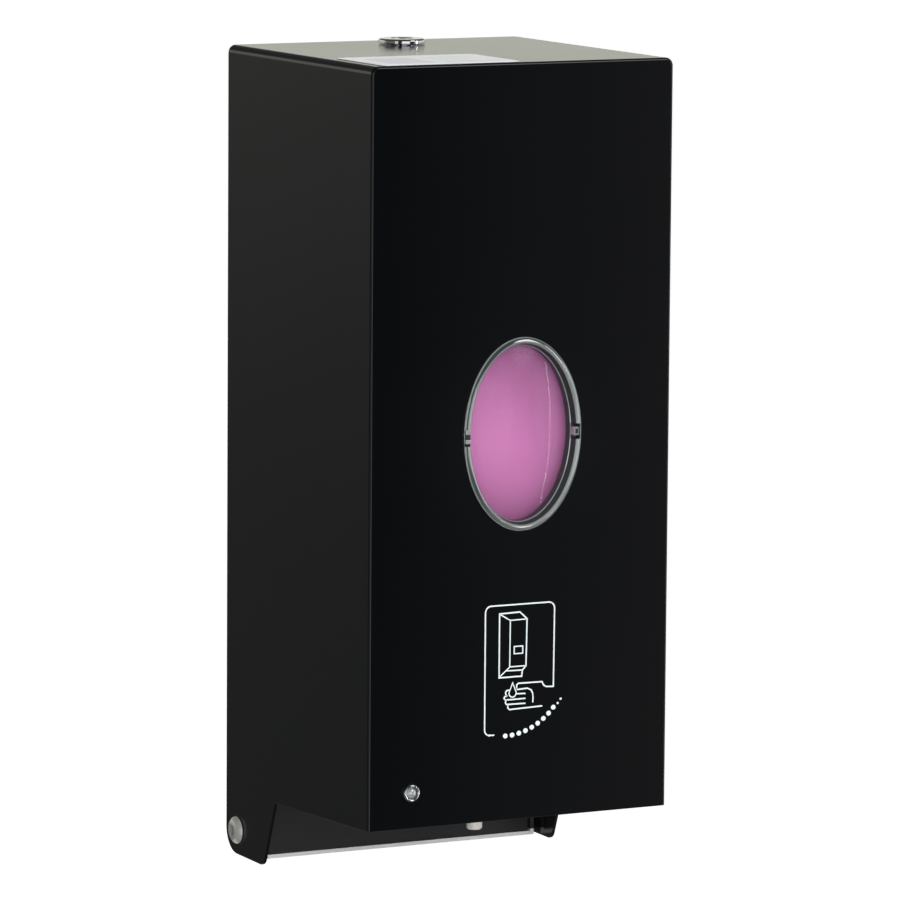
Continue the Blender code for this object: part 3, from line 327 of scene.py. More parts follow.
# Name: colour, roughness, metal and the rest
PLAIN = {
    # black_coat: its lighter edges paint highlights along the bends and hems, partly as wear
    "black_coat": ((0.0013, 0.0019, 0.0023), 0.16, 0.0, dict(
        spread=0.012, shade=0.1, patch=60.0, grain=1.2, relief=0.0003, wear_and_sheen=(0.3, (0.02, 0.021, 0.021)),
        # Painted shade: the coat is painted lighter towards its right side
        right=(0.0056, 0.0057, 0.0062))),
    "guard_coat": ((0.0115, 0.0115, 0.012), 0.4, 0.0, dict(
        patch=30.0, grain=0.5, relief=0.003, wear_and_sheen=(0.3, (0.05, 0.05, 0.05)))),
    "stainless": ((0.56, 0.555, 0.54), 0.34, 1.0, dict(
        patch=20.0, grain=0.35, relief=0.003, stretch=BRUSHED)),
    "bolt_steel": ((0.58, 0.58, 0.55), 0.32, 0.6, dict(patch=4.0, grain=0.4, relief=0.002)),
    "chrome": ((0.82, 0.83, 0.84), 0.07, 1.0, dict(
        shade=0.04, spread=0.03, patch=6.0, grain=0.5, relief=0.0004)),
    "brass": ((0.62, 0.44, 0.16), 0.3, 1.0, dict(grain=0.3, relief=0.002)),
    "zinc": ((0.52, 0.53, 0.55), 0.36, 1.0, dict(shade=0.18, patch=3.0, grain=0.4, relief=0.004)),
    "motor_can": ((0.46, 0.46, 0.46), 0.3, 1.0, dict(
        patch=9.0, grain=0.25, relief=0.002, stretch=(1.0, 0.05, 0.05))),
    "black_plastic": ((0.014, 0.0145, 0.015), 0.46, 0.0, dict(
        patch=25.0, grain=0.28, relief=0.009, wear_and_sheen=(0.5, (0.04, 0.04, 0.041)))),
    "grey_plastic": ((0.30, 0.31, 0.32), 0.45, 0.0, dict(patch=18.0, grain=0.28, relief=0.008)),
    "white_nylon": ((0.76, 0.75, 0.69), 0.42, 0.0, {
        "shade": 0.05, "grain": 0.4, "relief": 0.005, GLOW: 0.15, GLOW_DEPTH: 0.001}),
    "nozzle_plastic": ((0.64, 0.65, 0.6), 0.28, 0.0, {
        "shade": 0.08, "patch": 5.0, "grain": 0.8, "relief": 0.003, GLOW: 0.3, GLOW_DEPTH: 0.002}),
    "dark_window": ((0.012, 0.003, 0.004), 0.09, 0.0, {
        "shade": 0.2, "spread": 0.03, "grain": 2.0, "relief": 0.0005, COAT: 0.4}),
    "pink_soap": ((0.305, 0.064, 0.222), 0.2, 0.0, {
        "shade": 0.04, "spread": 0.04, "patch": 22.0, "grain": 6.0, "relief": 0.002, SPECULAR: 0.1}),
    "rubber": ((0.018, 0.018, 0.018), 0.75, 0.0, dict(grain=0.25, relief=0.01)),
    # bezel: the clear ring's walls and back painted opaque dark, as shade
    "bezel": ((0.022, 0.027, 0.027), 0.35, 0.0, {"grain": 1.5, "relief": 0.001, SPECULAR: 0.15}),
    "print": ((0.74, 0.82, 0.83), 0.4, 0.0, dict(shade=0.04, patch=6.0, grain=0.3, relief=0.002)),
    "red_wire": ((0.45, 0.015, 0.012), 0.35, 0.0, dict(grain=0.6, relief=0.004)),
    "black_wire": ((0.012, 0.012, 0.013), 0.38, 0.0, dict(grain=0.6, relief=0.004)),
    "white_wire": ((0.62, 0.62, 0.60), 0.38, 0.0, dict(grain=0.6, relief=0.004)),
}
# Name: tint, opacity, gloss, roughness and the tint on the left side, painted there as shade. The bezel
# finishes are lit and shaded copies of the window ring's clear plastic: the lighter ones paint its highlights
# and sheen
CLEAR = {
    "lens": ((0.80, 0.84, 0.84), 0.005, 0.12, 0.08),
    "bezel_top_painted_sheen": ((0.17, 0.195, 0.19), 0.7, 1.6, 0.07, (0.03, 0.036, 0.036)),
    "bezel_edge_painted_highlight": ((0.27, 0.30, 0.295), 0.6, 1.0, 0.07),
    "led_body": ((0.42, 0.46, 0.47), 0.5, 1.0, 0.06),
}
FINISH = {
    **{name: surface(name, *basics, **rest) for name, (*basics, rest) in PLAIN.items()},
    **{name: clear_surface(name, *row) for name, row in CLEAR.items()},
    "back_plate": plate_surface(),
    "milky_plastic": tank_surface(),
    "green_board": board_surface(),
    "label": label_surface(),
    "cell": cell_surface(),
}


# ---------------------------------------------------------------- shapes

def place(name, data):
    thing = bpy.data.objects.new(name, data)
    bpy.context.scene.collection.objects.link(thing)
    return thing


def applied(thing):
    """The mesh that an object has with its modifiers."""
    bpy.context.view_layer.update()
    return bpy.data.meshes.new_from_object(thing.evaluated_get(bpy.context.evaluated_depsgraph_get()))


def new_piece(name, shape, matrix=None):
    """An object for a bmesh in millimetres, at the world's origin, with its place in its mesh."""
    if matrix:
        bmesh.ops.transform(shape, matrix=matrix, verts=shape.verts)
    bmesh.ops.scale(shape, vec=(MM, MM, MM), verts=shape.verts)
    bmesh.ops.recalc_face_normals(shape, faces=shape.faces)
    return meshed(name, shape)


def meshed(name, shape):
    mesh = bpy.data.meshes.new(name)
    shape.to_mesh(mesh)
    shape.free()
    return place(name, mesh)


def block(name, xs, ys, zs, radius=0.0, segments=3, keep=None):
    """A block between the limits; keep(middle) picks the edges to round, all of them by default."""
    shape = bmesh.new()
    size = [hi - lo for lo, hi in (xs, ys, zs)]
    bmesh.ops.create_cube(shape, size=1.0, matrix=Matrix.Diagonal((*size, 1.0)))
    if radius:
        edges = [e for e in shape.edges if keep is None or keep((e.verts[0].co + e.verts[1].co) / 2)]
        bmesh.ops.bevel(shape, geom=edges, offset=radius, segments=segments, profile=0.5, affect="EDGES")
    return new_piece(name, shape, Matrix.Translation([(hi + lo) / 2 for lo, hi in (xs, ys, zs)]))


def along_z(middle_point):
    return abs(middle_point.z) < 0.01


def slab(name, x, y, long, wide, low, high, *rounding):
    """A block centred on (x, y) in plan, between two heights."""
    return block(name, (x - long / 2, x + long / 2), (y - wide / 2, y + wide / 2), (low, high), *rounding)


def turned(name, profile, axis, centre, segments=64, stretch=1.0):
    """A closed profile of (radius, height) points turned about the axis, and stretched along its own X."""
    shape = bmesh.new()
    rings = []
    for radius, height in profile:
        count = segments if radius > 0.001 else 1
        angles = [2 * math.pi * i / count for i in range(count)]
        rings.append([shape.verts.new((radius * math.cos(a) * stretch, radius * math.sin(a), height))
                      for a in angles])
    solid = len(rings[0]) == 1
    for first, second in zip(rings, rings[1:] + ([] if solid else rings[:1])):
        for i in range(segments):
            corners = []
            for vertex in (first[i % len(first)], first[(i + 1) % len(first)],
                           second[(i + 1) % len(second)], second[i % len(second)]):
                if vertex not in corners:
                    corners.append(vertex)
            if len(corners) > 2:
                shape.faces.new(corners)
    return new_piece(name, shape, Matrix.Translation(centre) @ ALONG[axis])


def bar(name, axis, centre, length, radius, sides=48):
    """A plain round bar along the axis."""
    profile = [(0, length / 2), (radius, length / 2), (radius, -length / 2), (0, -length / 2)]
    return turned(name, profile, axis, centre, sides)


def post(name, x, y, low, high, radius, sides=48):
    """A round bar that stands between two heights."""
    return bar(name, "Z", (x, y, (low + high) / 2), high - low, radius, sides)


def arc(cx, cy, radius, start, end, steps):
    angles = [math.radians(start + (end - start) * i / steps) for i in range(steps + 1)]
    return [(cx + radius * math.cos(a), cy + radius * math.sin(a)) for a in angles]


def rounded(xs, ys, corner, steps=6):
    (x0, x1), (y0, y1) = xs, ys
    corners = ((x1 - corner, y1 - corner, 0), (x0 + corner, y1 - corner, 90),
               (x0 + corner, y0 + corner, 180), (x1 - corner, y0 + corner, 270))
    return [p for cx, cy, a in corners for p in arc(cx, cy, corner, a, a + 90, steps)]


def settle(piece, others):
    """Applies the piece's modifiers and removes the shapes that they used."""
    piece.data = applied(piece)
    piece.modifiers.clear()
    for other in others:
        bpy.data.objects.remove(other)
    return piece


def boolean(piece, operation, *others):
    for other in others:
        modifier = piece.modifiers.new("Boolean", "BOOLEAN")
        modifier.operation = operation
        modifier.object = other
    return settle(piece, others)


def cut(piece, *others):
    return boolean(piece, "DIFFERENCE", *others)


def join(piece, *others):
    return boolean(piece, "UNION", *others)


def merged(name, pieces):
    """One object that holds separate closed shapes."""
    shape = bmesh.new()
    for piece in pieces:
        shape.from_mesh(piece.data)
        bpy.data.objects.remove(piece)
    return meshed(name, shape)


def plate(name, outlines, axis, low, high):
    """A flat piece: the first outline less the others, between low and high along the axis.

    An outline's points are (Y, Z) for axis X, (X, Z) for axis -Y and (X, Y) for axis Z.
    """
    curve = bpy.data.curves.new(name, "CURVE")
    curve.dimensions = "2D"
    curve.fill_mode = "BOTH"
    curve.extrude = (high - low) / 2
    for outline in outlines:
        spline = curve.splines.new("POLY")
        spline.points.add(len(outline) - 1)
        for point, (u, v) in zip(spline.points, outline):
            point.co = (u, v, 0.0, 1.0)
        spline.use_cyclic_u = True
    flat = place(name, curve)
    shape = bmesh.new()
    shape.from_mesh(applied(flat))
    bpy.data.objects.remove(flat)
    bmesh.ops.remove_doubles(shape, verts=shape.verts, dist=0.001)
    bmesh.ops.dissolve_limit(shape, angle_limit=math.radians(0.5), verts=shape.verts, edges=shape.edges)
    centre = (low + high) / 2
    shift = {"X": (centre, 0, 0), "-Y": (0, centre, 0), "Z": (0, 0, centre)}[axis]
    return new_piece(name, shape, Matrix.Translation(shift) @ ALONG[axis])


def loft(shape, rings, closed=False):
    """Joins rings of equally many corners, and caps the ends unless the last ring meets the first."""
    count = len(rings[0])
    for first, second in zip(rings, rings[1:] + (rings[:1] if closed else [])):
        for k in range(count):
            shape.faces.new((first[k], first[(k + 1) % count], second[(k + 1) % count], second[k]))
    if not closed:
        shape.faces.new(rings[0])
        shape.faces.new(list(reversed(rings[-1])))


def tube(name, points, radius, sides=12, steps=8):
    """A round wire along a smooth curve through the points."""
    path = []
    spots = [Vector(p) for p in points]
    padded = [spots[0] * 2 - spots[1], *spots, spots[-1] * 2 - spots[-2]]
    for a, b, c, d in zip(padded, padded[1:], padded[2:], padded[3:]):
        for i in range(steps):
            t = i / steps
            path.append(0.5 * ((2 * b) + (c - a) * t + (2 * a - 5 * b + 4 * c - d) * t ** 2
                               + (3 * b - a - 3 * c + d) * t ** 3))
    path.append(spots[-1])
    shape = bmesh.new()
    side = None
    rings = []
    for i, spot in enumerate(path):
        ahead = (path[min(i + 1, len(path) - 1)] - path[max(i - 1, 0)]).normalized()
        if side is None:
            side = ahead.orthogonal().normalized()
        side = (side - ahead * side.dot(ahead)).normalized()
        other = ahead.cross(side)
        rings.append([shape.verts.new(spot + radius * (side * math.cos(a) + other * math.sin(a)))
                      for a in (2 * math.pi * k / sides for k in range(sides))])
    loft(shape, rings)
    return new_piece(name, shape)


def ribbon(shape, points, width, front, back, closed=False):
    """Adds a flat printed line through (X, Z) points to a bmesh, between two depths."""
    line = [Vector(p) for p in points]
    count = len(line)
    sections = []
    for i, spot in enumerate(line):
        before = line[(i - 1) % count] if closed or i else None
        after = line[(i + 1) % count] if closed or i < count - 1 else None
        into = (spot - before).normalized() if before is not None else (after - spot).normalized()
        out = (after - spot).normalized() if after is not None else into
        along = (into + out).normalized()
        side = Vector((-along.y, along.x))
        reach = width / 2 / max(0.5, side.dot(Vector((-into.y, into.x))))
        sections.append((spot, side * reach))
    if not closed:
        (first, first_side), (last, last_side) = sections[0], sections[-1]
        start = (line[0] - line[1]).normalized()
        end = (line[-1] - line[-2]).normalized()
        caps = [math.radians(a) for a in (35, 65, 82)]
        start, end = start * width / 2, end * width / 2
        sections = [
            *((first + start * math.sin(a), first_side * math.cos(a)) for a in reversed(caps)),
            *sections,
            *((last + end * math.sin(a), last_side * math.cos(a)) for a in caps)]
    rows = [[shape.verts.new((p.x, y, p.y)) for p, y in (
        (spot + side, front), (spot - side, front), (spot - side, back), (spot + side, back))]
        for spot, side in sections]
    loft(shape, rows, closed)


def ease_edges(piece, width, angle, keep_sharp):
    """Rounds edges sharper than the angle, if there is a width, and evens the shading."""
    if width:
        bevel = piece.modifiers.new("Edges", "BEVEL")
        bevel.width = width * MM
        bevel.segments = 2
        bevel.limit_method = "ANGLE"
        bevel.angle_limit = math.radians(angle)
    piece.modifiers.new("Shading", "WEIGHTED_NORMAL").keep_sharp = keep_sharp


def soften(piece, width):
    """Rounds a new piece's edges a little, or only marks them sharp where the width is 0."""
    piece.data.shade_smooth()
    if not width:
        piece.data.set_sharp_from_angle(angle=math.radians(35.0))
    ease_edges(piece, width, 35.0, True)
    return piece


def show(piece, width, body, slot, *nodes, finish=None):
    """Gives a new piece its edges, finish and body, and hides the CAD nodes that it stands for; slot is the
    finish used when none is given.
    """
    if width is not None:
        soften(piece, width)
    piece.data.materials.clear()
    piece.data.materials.append(FINISH[finish or slot])
    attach(piece, body)
    if nodes:
        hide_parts(*nodes)
    return piece


def carry_over(finish, *nodes, width):
    """Keeps CAD nodes as they are, with a finish and slightly rounded edges."""
    for name in nodes:
        thing = NODES[name]
        for slot in thing.material_slots:
            slot.material = FINISH[finish]
        thing.modifiers.new("Weld", "WELD").merge_threshold = MERGE
        flat = thing.modifiers.new("Flats", "DECIMATE")
        flat.decimate_type = "DISSOLVE"
        flat.angle_limit = math.radians(1.0)
        ease_edges(thing, width, 40.0, False)


# ---------------------------------------------------------------- cover and what it carries

def round_front(piece, radius, segments):
    """Rounds the outline of a block's front face, all but its bottom edge."""
    shape = bmesh.new()
    shape.from_mesh(piece.data)
    front = min(v.co.y for v in shape.verts) + MERGE
    bottom = min(v.co.z for v in shape.verts) + MERGE
    edges = [e for e in shape.edges if all(v.co.y < front for v in e.verts)
             and any(v.co.z > bottom for v in e.verts)]
    bmesh.ops.bevel(shape, geom=edges, offset=radius * MM, segments=segments, profile=0.5, affect="EDGES")
    shape.to_mesh(piece.data)
    shape.free()


def ear_bolt_holes():
    """A bar along the cover's hinge line, to cut holes with."""
    pivot = middle("pivot_nut_left")
    return bar("ear_bolt_holes", "X", (0, pivot.y, pivot.z), 160, 3.3)


def build_cover():
    low, high = span("cover")
    half, front, top = high.x, low.y, high.z
    ear_low, ear_z = low.z, low.z + 0.4 + EAR_CORNER

    def beside_top(point):
        return abs(point.y) < 0.01 and point.z > 0

    floor = ear_low - 4
    shell = block("cover_shell", (-half, half), (front, -BACK_GAP), (floor, top), TOP_BEND, 10, beside_top)
    round_front(shell, FRONT_BEND, 6)
    inner = half - SHEET
    inside = block("inside", (-inner, inner), (front + SHEET, -front - SHEET), (floor - 5, top - SHEET),
                   TOP_BEND - SHEET, 8, beside_top)
    below = plate("below", [[
        (front - 5, floor - 5), (front - 5, 0), (front, 0),
        *arc(EAR_START - 1.2, -HEM_DROP - 1.2, 1.2, 90, 20, 6),
        *arc(EAR_TIP + 3.9, ear_low + 4, 4, 200, 270, 12),
        *arc(-BACK_GAP - EAR_CORNER, ear_z, EAR_CORNER, 270, 360, 24), (5, ear_z), (5, floor - 5),
    ]], "X", -half - 5, half + 5)
    lens = half_size("window_lens")
    hole = turned("hole", [(0, 9), (lens.z - 1.9, 9), (lens.z - 1.9, -9), (0, -9)], "-Y",
                  on_front("window_lens"), 160, lens.x / lens.z)
    led_hole = bar("led_hole", "-Y", on_front("led_bezel"), 10, 3.1)
    lock_hole = post("lock_hole", 0, middle("lock_barrel").y, top - 6, top + 6, 6.3)
    cut(shell, inside, below, hole, led_hole, lock_hole, ear_bolt_holes())
    show(shell, 0.22, "cover_body", "black_coat", "cover")


def oval_ring(name, section, centre, half_x, half_z, segments=160):
    """A closed section of (offset, height, finish) points swept round an oval on the front."""
    names = list(dict.fromkeys(finish for *_, finish in section))
    shape = bmesh.new()
    rings = []
    for offset, height, _ in section:
        ring = []
        for i in range(segments):
            turn = 2 * math.pi * i / segments
            out = Vector((math.cos(turn) / half_x, math.sin(turn) / half_z)).normalized() * offset
            ring.append(shape.verts.new((half_x * math.cos(turn) + out.x, half_z * math.sin(turn) + out.y,
                                         height)))
        rings.append(ring)
    for first, second, (*_, finish) in zip(rings, rings[1:] + rings[:1], section):
        for i in range(segments):
            after = (i + 1) % segments
            face = shape.faces.new((first[i], first[after], second[after], second[i]))
            face.material_index = names.index(finish)
    ring = new_piece(name, shape, Matrix.Translation(centre) @ ALONG["-Y"])
    for finish in names:
        ring.data.materials.append(FINISH[finish])
    return ring


def build_window():
    """The clear lens, domed inside its moulded rim, and the ring that holds them from behind."""
    low, high = span("window_lens")
    centre, half = on_front("window_lens"), half_size("window_lens")
    crown, edge, floor = centre.y - low.y - 0.3, 3.4, -1.8
    reach_x, reach_z = half.x - edge, half.z - edge
    steps = [i / 24 for i in range(25)]
    dome = [(reach_z * t, crown - (crown - floor) * t * t) for t in steps]
    under = [(r, h - 1.3) for r, h in reversed(dome)]
    lens = turned("window_dome", [*dome, *under], "-Y", centre, 128, reach_x / reach_z)
    show(lens, 0, "cover_body", "clear_plastic", "window_lens", finish="lens")
    # The ring's bands take lit and shaded finishes: the lighter ones paint its highlights and sheen, the dark
    # one paints shade on the clear plastic
    section = [
        (0, GAP, "bezel"), (0, 0.5, "bezel_edge_painted_highlight"), (-0.1, 0.85, "bezel_edge_painted_highlight"),
        (-0.35, 1.15, "bezel_top_painted_sheen"), (-0.9, 1.55, "bezel_top_painted_sheen"), (-1.45, 1.7, "bezel_edge_painted_highlight"),
        (-1.95, 1.5, "bezel_edge_painted_highlight"), (-2.35, 1.05, "bezel"), (-2.7, 0.2, "bezel"),
        (-3.1, floor + 0.25, "bezel_edge_painted_highlight"), (-edge, floor, "bezel"), (-edge, -5.0, "bezel"),
        (-2.2, -5.0, "bezel"), (-2.2, GAP, "bezel")]
    bezel = oval_ring("window_bezel", section, centre, half.x, half.z)

    def fitting(name, x0, x1, y0, y1, z0, z1, *rounding):
        """A block given by its place on the front, at the window's middle height."""
        return block(name, (x0, x1), (centre.y + y0, centre.y + y1), (centre.z + z0, centre.z + z1),
                     *rounding)

    left, right = low.x, high.x
    cut(bezel, fitting("notch", left + 0.15, left + 2.35, -3, 2.4, -3.3, 2.9),
        fitting("notch", right - 3.3, right - 1.0, -3, 2.4, -2.9, 2.9))
    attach(soften(bezel, 0), "cover_body")
    # The lugs and the clip take the ring's painted highlight and sheen finishes
    lugs = [fitting("lug", left + 0.25, left + 2.3, -1.6, 2.0, z0, z1, 0.2, 3)
            for z0, z1 in ((1.1, 2.85), (-2.4, -0.9))]
    show(merged("window_lugs", lugs), 0, "cover_body", "clear_plastic", finish="bezel_edge_painted_highlight")
    clip = fitting("window_clip", right - 3.2, right - 1.05, -1.2, 1.8, -1.6, 1.6, 0.2, 3)
    cut(clip, fitting("pocket", right - 2.7, right - 1.55, -3, -0.4, -0.85, 0.85))
    show(clip, 0, "cover_body", "clear_plastic", finish="bezel_top_painted_sheen")
    pads = [fitting("pad", left + 0.4, left + 2.2, -0.9, 1.0, -0.85, 1.05),
            fitting("pad", right - 2.65, right - 1.6, -0.6, 1.0, -0.8, 0.8)]
    show(merged("window_pads", pads), 0, "cover_body", "black_plastic")
    spot, outer = middle("window_ring"), half_size("window_ring")
    spot.y = span("window_ring")[0].y
    ring = turned("window_retainer", [
        (outer.z, 0), (outer.z, -1.5), (outer.z - 4.4, -1.5), (outer.z - 4.4, 0),
    ], "-Y", spot, 128, outer.x / outer.z)
    show(ring, 0.2, "cover_body", "black_plastic", "window_ring")


def build_indicator():
    centre, reach = on_front("led_bezel"), half_size("led_bezel").x
    bezel = turned("indicator_bezel", [
        (2.2, 0.9), (2.45, 1.2), (2.8, 1.3), (3.1, 1.15), (reach, 0.7), (reach, GAP), (2.8, GAP), (2.8, -5.0),
        (2.2, -5.0),
    ], "-Y", centre, 64)
    show(bezel, 0.05, "cover_body", "chrome", "led_bezel")
    lens = turned("indicator_lens", [
        (0, 1.5), (0.7, 1.42), (1.3, 1.2), (1.8, 0.85), (2.1, 0.35), (2.1, -4.5), (0, -4.5),
    ], "-Y", centre, 48)
    show(lens, 0, "cover_body", "clear_plastic", "led_lens", finish="led_body")
    cup = turned("indicator_cup", [
        (1.75, 0.2), (1.75, -3.0), (0.7, -3.0), (0.7, -2.4), (1.0, -2.3), (1.6, 0.2),
    ], "-Y", centre, 48)
    show(cup, 0, "cover_body", "chrome")


def build_lock():
    low, high = span("lock_barrel")
    centre = Vector((0, middle("lock_barrel").y, high.z))
    reach, bottom = high.x, low.z - high.z
    barrel = turned("lock_body", [
        (4.3, -0.1), (4.5, 0.0), (reach - 1.0, 0.0), (reach - 0.5, -0.1), (reach - 0.15, -0.35),
        (reach, -0.7), (reach, -1.85), (reach - 0.2, -2.0), (6.0, -2.0), (6.0, bottom), (4.3, bottom),
    ], "Z", centre, 96)
    threads = [turned("thread", [
        (6.05, z + 0.22), (6.25, z), (6.05, z - 0.22), (5.9, z - 0.22), (5.9, z + 0.22),
    ], "Z", centre, 48) for z in (-16.5 + 0.8 * i for i in range(16))]
    show(barrel, 0.06, "cover_body", "chrome", "lock_barrel")
    show(merged("lock_threads", threads), 0, "cover_body", "chrome")
    low, high = span("lock_cylinder")
    turning = turned("lock_core_visible", [
        (0, high.z), (3.7, high.z), (3.9, high.z - 0.1), (4.0, high.z - 0.35), (4.0, 262.3), (2.9, 262.3),
        (2.9, low.z), (0, low.z),
    ], "Z", (0, centre.y, 0), 64)
    slot = slab("slot", 0, centre.y, 1.2, 5.6, high.z - 8, high.z + 5)
    ward = slab("ward", 0.75, centre.y - 0.7, 1.1, 1.0, high.z - 8, high.z + 5)
    thread = post("thread", 0, centre.y, low.z - 3, 263, 1.9)
    cut(turning, slot, ward, thread)
    show(turning, 0.05, "lock_core", "chrome", "lock_cylinder")
    carry_over("zinc", "lock_cam", "cam_screw", width=0.12)
    carry_over("brass", "lock_nut", width=0.3)


def build_label():
    low, high = span("top_label")
    label = plate("top_sticker", [rounded((low.x, high.x), (low.y, high.y), 2.5, 8)], "Z", low.z, high.z)
    show(label, 0.05, "cover_body", "paper", "top_label", finish="label")


def build_pictogram():
    """A generic sign printed on the front: a dispenser, a drop and a hand in a frame, and no words."""
    front = span("cover")[0].y
    low, high = front - 0.06, front - 0.005
    shape = bmesh.new()
    thick, thin = 0.54, 0.45
    outlines = (
        (thick, False, [
            (-10.5, 32.3), (-12.3, 32.3), *arc(-12.3, 34.4, 2.1, 270, 180, 6), (-14.4, 78.2),
            *arc(-12.0, 78.2, 2.4, 180, 90, 6)[1:], (12.1, 80.6), *arc(12.1, 78.2, 2.4, 90, 0, 6)[1:],
            (14.3, 48.8), (11.8, 48.9), *arc(11.9, 51.2, 2.3, 268, 215, 4)[1:], (9.5, 50.9), (-0.4, 51.0),
            (-1.1, 50.4), (-1.1, 49.4)]),
        (thick, True, [
            (-8.5, 53.6), (-8.5, 77.5), (0.0, 77.7), (3.0, 75.0), (2.7, 57.4), (1.2, 55.8), (0.95, 53.6)]),
        (thin, False, [(-8.1, 77.2), (-4.0, 74.8), (2.7, 74.9)]),
        (thin, False, [(-4.0, 74.5), (-4.1, 57.4), (2.4, 57.4)]),
        (thin, False, [(-8.2, 54.0), (-4.3, 57.2)]),
        (thin, False, [(-5.4, 56.0), (0.9, 55.9)]),
        (thin, True, [(-2.3, 62.2), (1.3, 62.2), (1.3, 64.9), (-2.3, 64.9)]),
        (thick, False, [(-0.9, 48.7), (3.4, 48.9), (5.0, 48.1), (5.6, 46.9), (5.8, 45.4), (5.7, 43.6)]),
        (thick, False, [(-0.9, 47.1), (2.4, 47.0)]),
        (thick, False, [(-4.2, 48.7), (-5.3, 48.6), (-5.8, 47.8), (-5.5, 46.9), (-5.0, 46.6)]),
        (thick, False, [(-5.1, 46.6), (-6.1, 46.4), (-6.4, 45.8), (-5.9, 45.1), (2.4, 45.15)]),
        (thick, False, [(-5.4, 44.9), (-5.8, 44.2), (-5.4, 43.4), (2.4, 43.3)]),
        (thick, False, [(-4.7, 43.1), (-4.8, 42.2), (-4.1, 41.4), (9.5, 41.8)]),
        (thin, True, [(-2.8, 51.3), *arc(-2.8, 47.5, 1.5, 30, -210, 16)]),
    )
    for width, closed, points in outlines:
        ribbon(shape, points, width, low, high, closed)
    dots = [(1.9, arc(-5.8, 58.0, 26.4, turn, turn, 1)[0]) for turn in (-89.8 + 6.19 * i for i in range(9))]
    for width, (x, z) in dots + [(0.9, (16.2, 42.4)), (0.9, (17.4, 43.9))]:
        ribbon(shape, [(x - 0.02, z), (x + 0.02, z)], width, low, high)
    show(new_piece("sign", shape), None, "cover_body", "paper", finish="print")


# ---------------------------------------------------------------- wall side

def build_wall_plate():
    low, high = span("wall_plate")
    half, shelf_front, bottom, top = high.x, low.y, low.z, high.z
    sheet, flange = 1.5, -11.0
    plate_body = block("back_plate", (-half, half), (shelf_front, 0), (bottom, top + 20), 1.9, 5,
                       lambda p: (p.y > -shelf_front / 2 - 1 and p.z < 150 and abs(p.x) > half - 1 or
                                  p.y > -shelf_front / 2 - 1 and p.z < -100) and not p.z > 100)
    hollow = block("hollow", (sheet - half, half - sheet), (shelf_front - 5, -sheet),
                   (bottom + sheet, top + 40))
    trim = block("trim", (-80, 80), (shelf_front - 5, flange), (3, top + 40))
    head = block("head", (-80, 80), (shelf_front - 5, 5), (top, top + 60))
    cut(plate_body, hollow, trim, head, ear_bolt_holes())
    for x, z in ((-40, 228), (40, 228), (-40, 52), (40, 52)):
        cut(plate_body, bar("keyhole", "-Y", (x, 0, z), 10, 4.5))
        cut(plate_body, slab("slot", x, 0, 4.4, 10, z, z + 11))
    show(plate_body, 0.15, "root", "stainless", "wall_plate", finish="back_plate")


def build_guard():
    low, high = span("lower_guard")
    sheet = 1.5
    half, front, bottom, top = high.x, low.y, low.z, high.z
    body = block("guard_panel", (-half, half), (front, high.y), (bottom, top), 1.4, 4,
                 lambda p: p.y < 0 and (abs(p.x) > half - 1 or p.z > 5))
    hollow = block("hollow", (-half + 7, half - 7), (front + sheet, 5), (bottom - 5, top - sheet))
    corner = block("corner", (-80, 80), (front + sheet, 5), (bottom - 5, top - sheet))
    cut(body, hollow, corner)
    show(body, 0.15, "root", "black_coat", "lower_guard", finish="guard_coat")


def build_pivots():
    for side, sign, axis in (("left", -1, "-X"), ("right", 1, "X")):
        low, high = span(f"pivot_bolt_{side}")
        pivot = middle(f"pivot_nut_{side}")
        face = max(-low.x, high.x) - BOLT_HEAD
        bolt = turned(f"hinge_bolt_{side}", [
            (0, 2.3), (2.4, 2.3), (3.4, 2.1), (4.2, 1.7), (4.8, 1.15), (5.15, 0.7), (5.3, 0.3), (5.2, 0),
            (3.0, 0), (3.0, -12.0), (0, -12.0),
        ], axis, (sign * face, pivot.y, pivot.z), 64)
        cut(bolt, bar("socket", axis, (sign * (face + 4.45), pivot.y, pivot.z), 7.1, 2.2, sides=6))
        show(bolt, 0.1, "root", "stainless", f"pivot_bolt_{side}", finish="bolt_steel")
        carry_over("white_nylon", f"pivot_washer_{side}", width=0.1)
        carry_over("stainless", f"pivot_nut_{side}", width=0.3)


def build_chassis():
    """The CAD's plastic frame, with moulded ribs on its back panel and under the tank's shelf."""
    carry_over("black_plastic", "inner_chassis", width=0.3)
    carry_over("stainless", "lock_strike", width=0.2)
    carry_over("zinc", "chassis_screw_1", "chassis_screw_2", width=0.1)
    back = -4.3
    ribs = [block("rib", (x - 0.8, x + 0.8), (back - 1.8, back + 0.3), (78, 222), 0.3, 2)
            for x in (-52, -30, -10, 10, 30, 52)]
    ribs += [block("rib", (-54, 54), (back - 1.4, back + 0.3), (z - 0.8, z + 0.8), 0.3, 2)
             for z in (110, 150, 190)]
    ribs += [turned("boss", [(7.0, 2.0), (9.2, 1.6), (9.6, -0.3), (7.0, -0.3)], "-Y", (x, back, 228), 48)
             for x in (-40, 40)]
    show(merged("chassis_ribs", ribs), 0, "root", "black_plastic")


# ---------------------------------------------------------------- tank

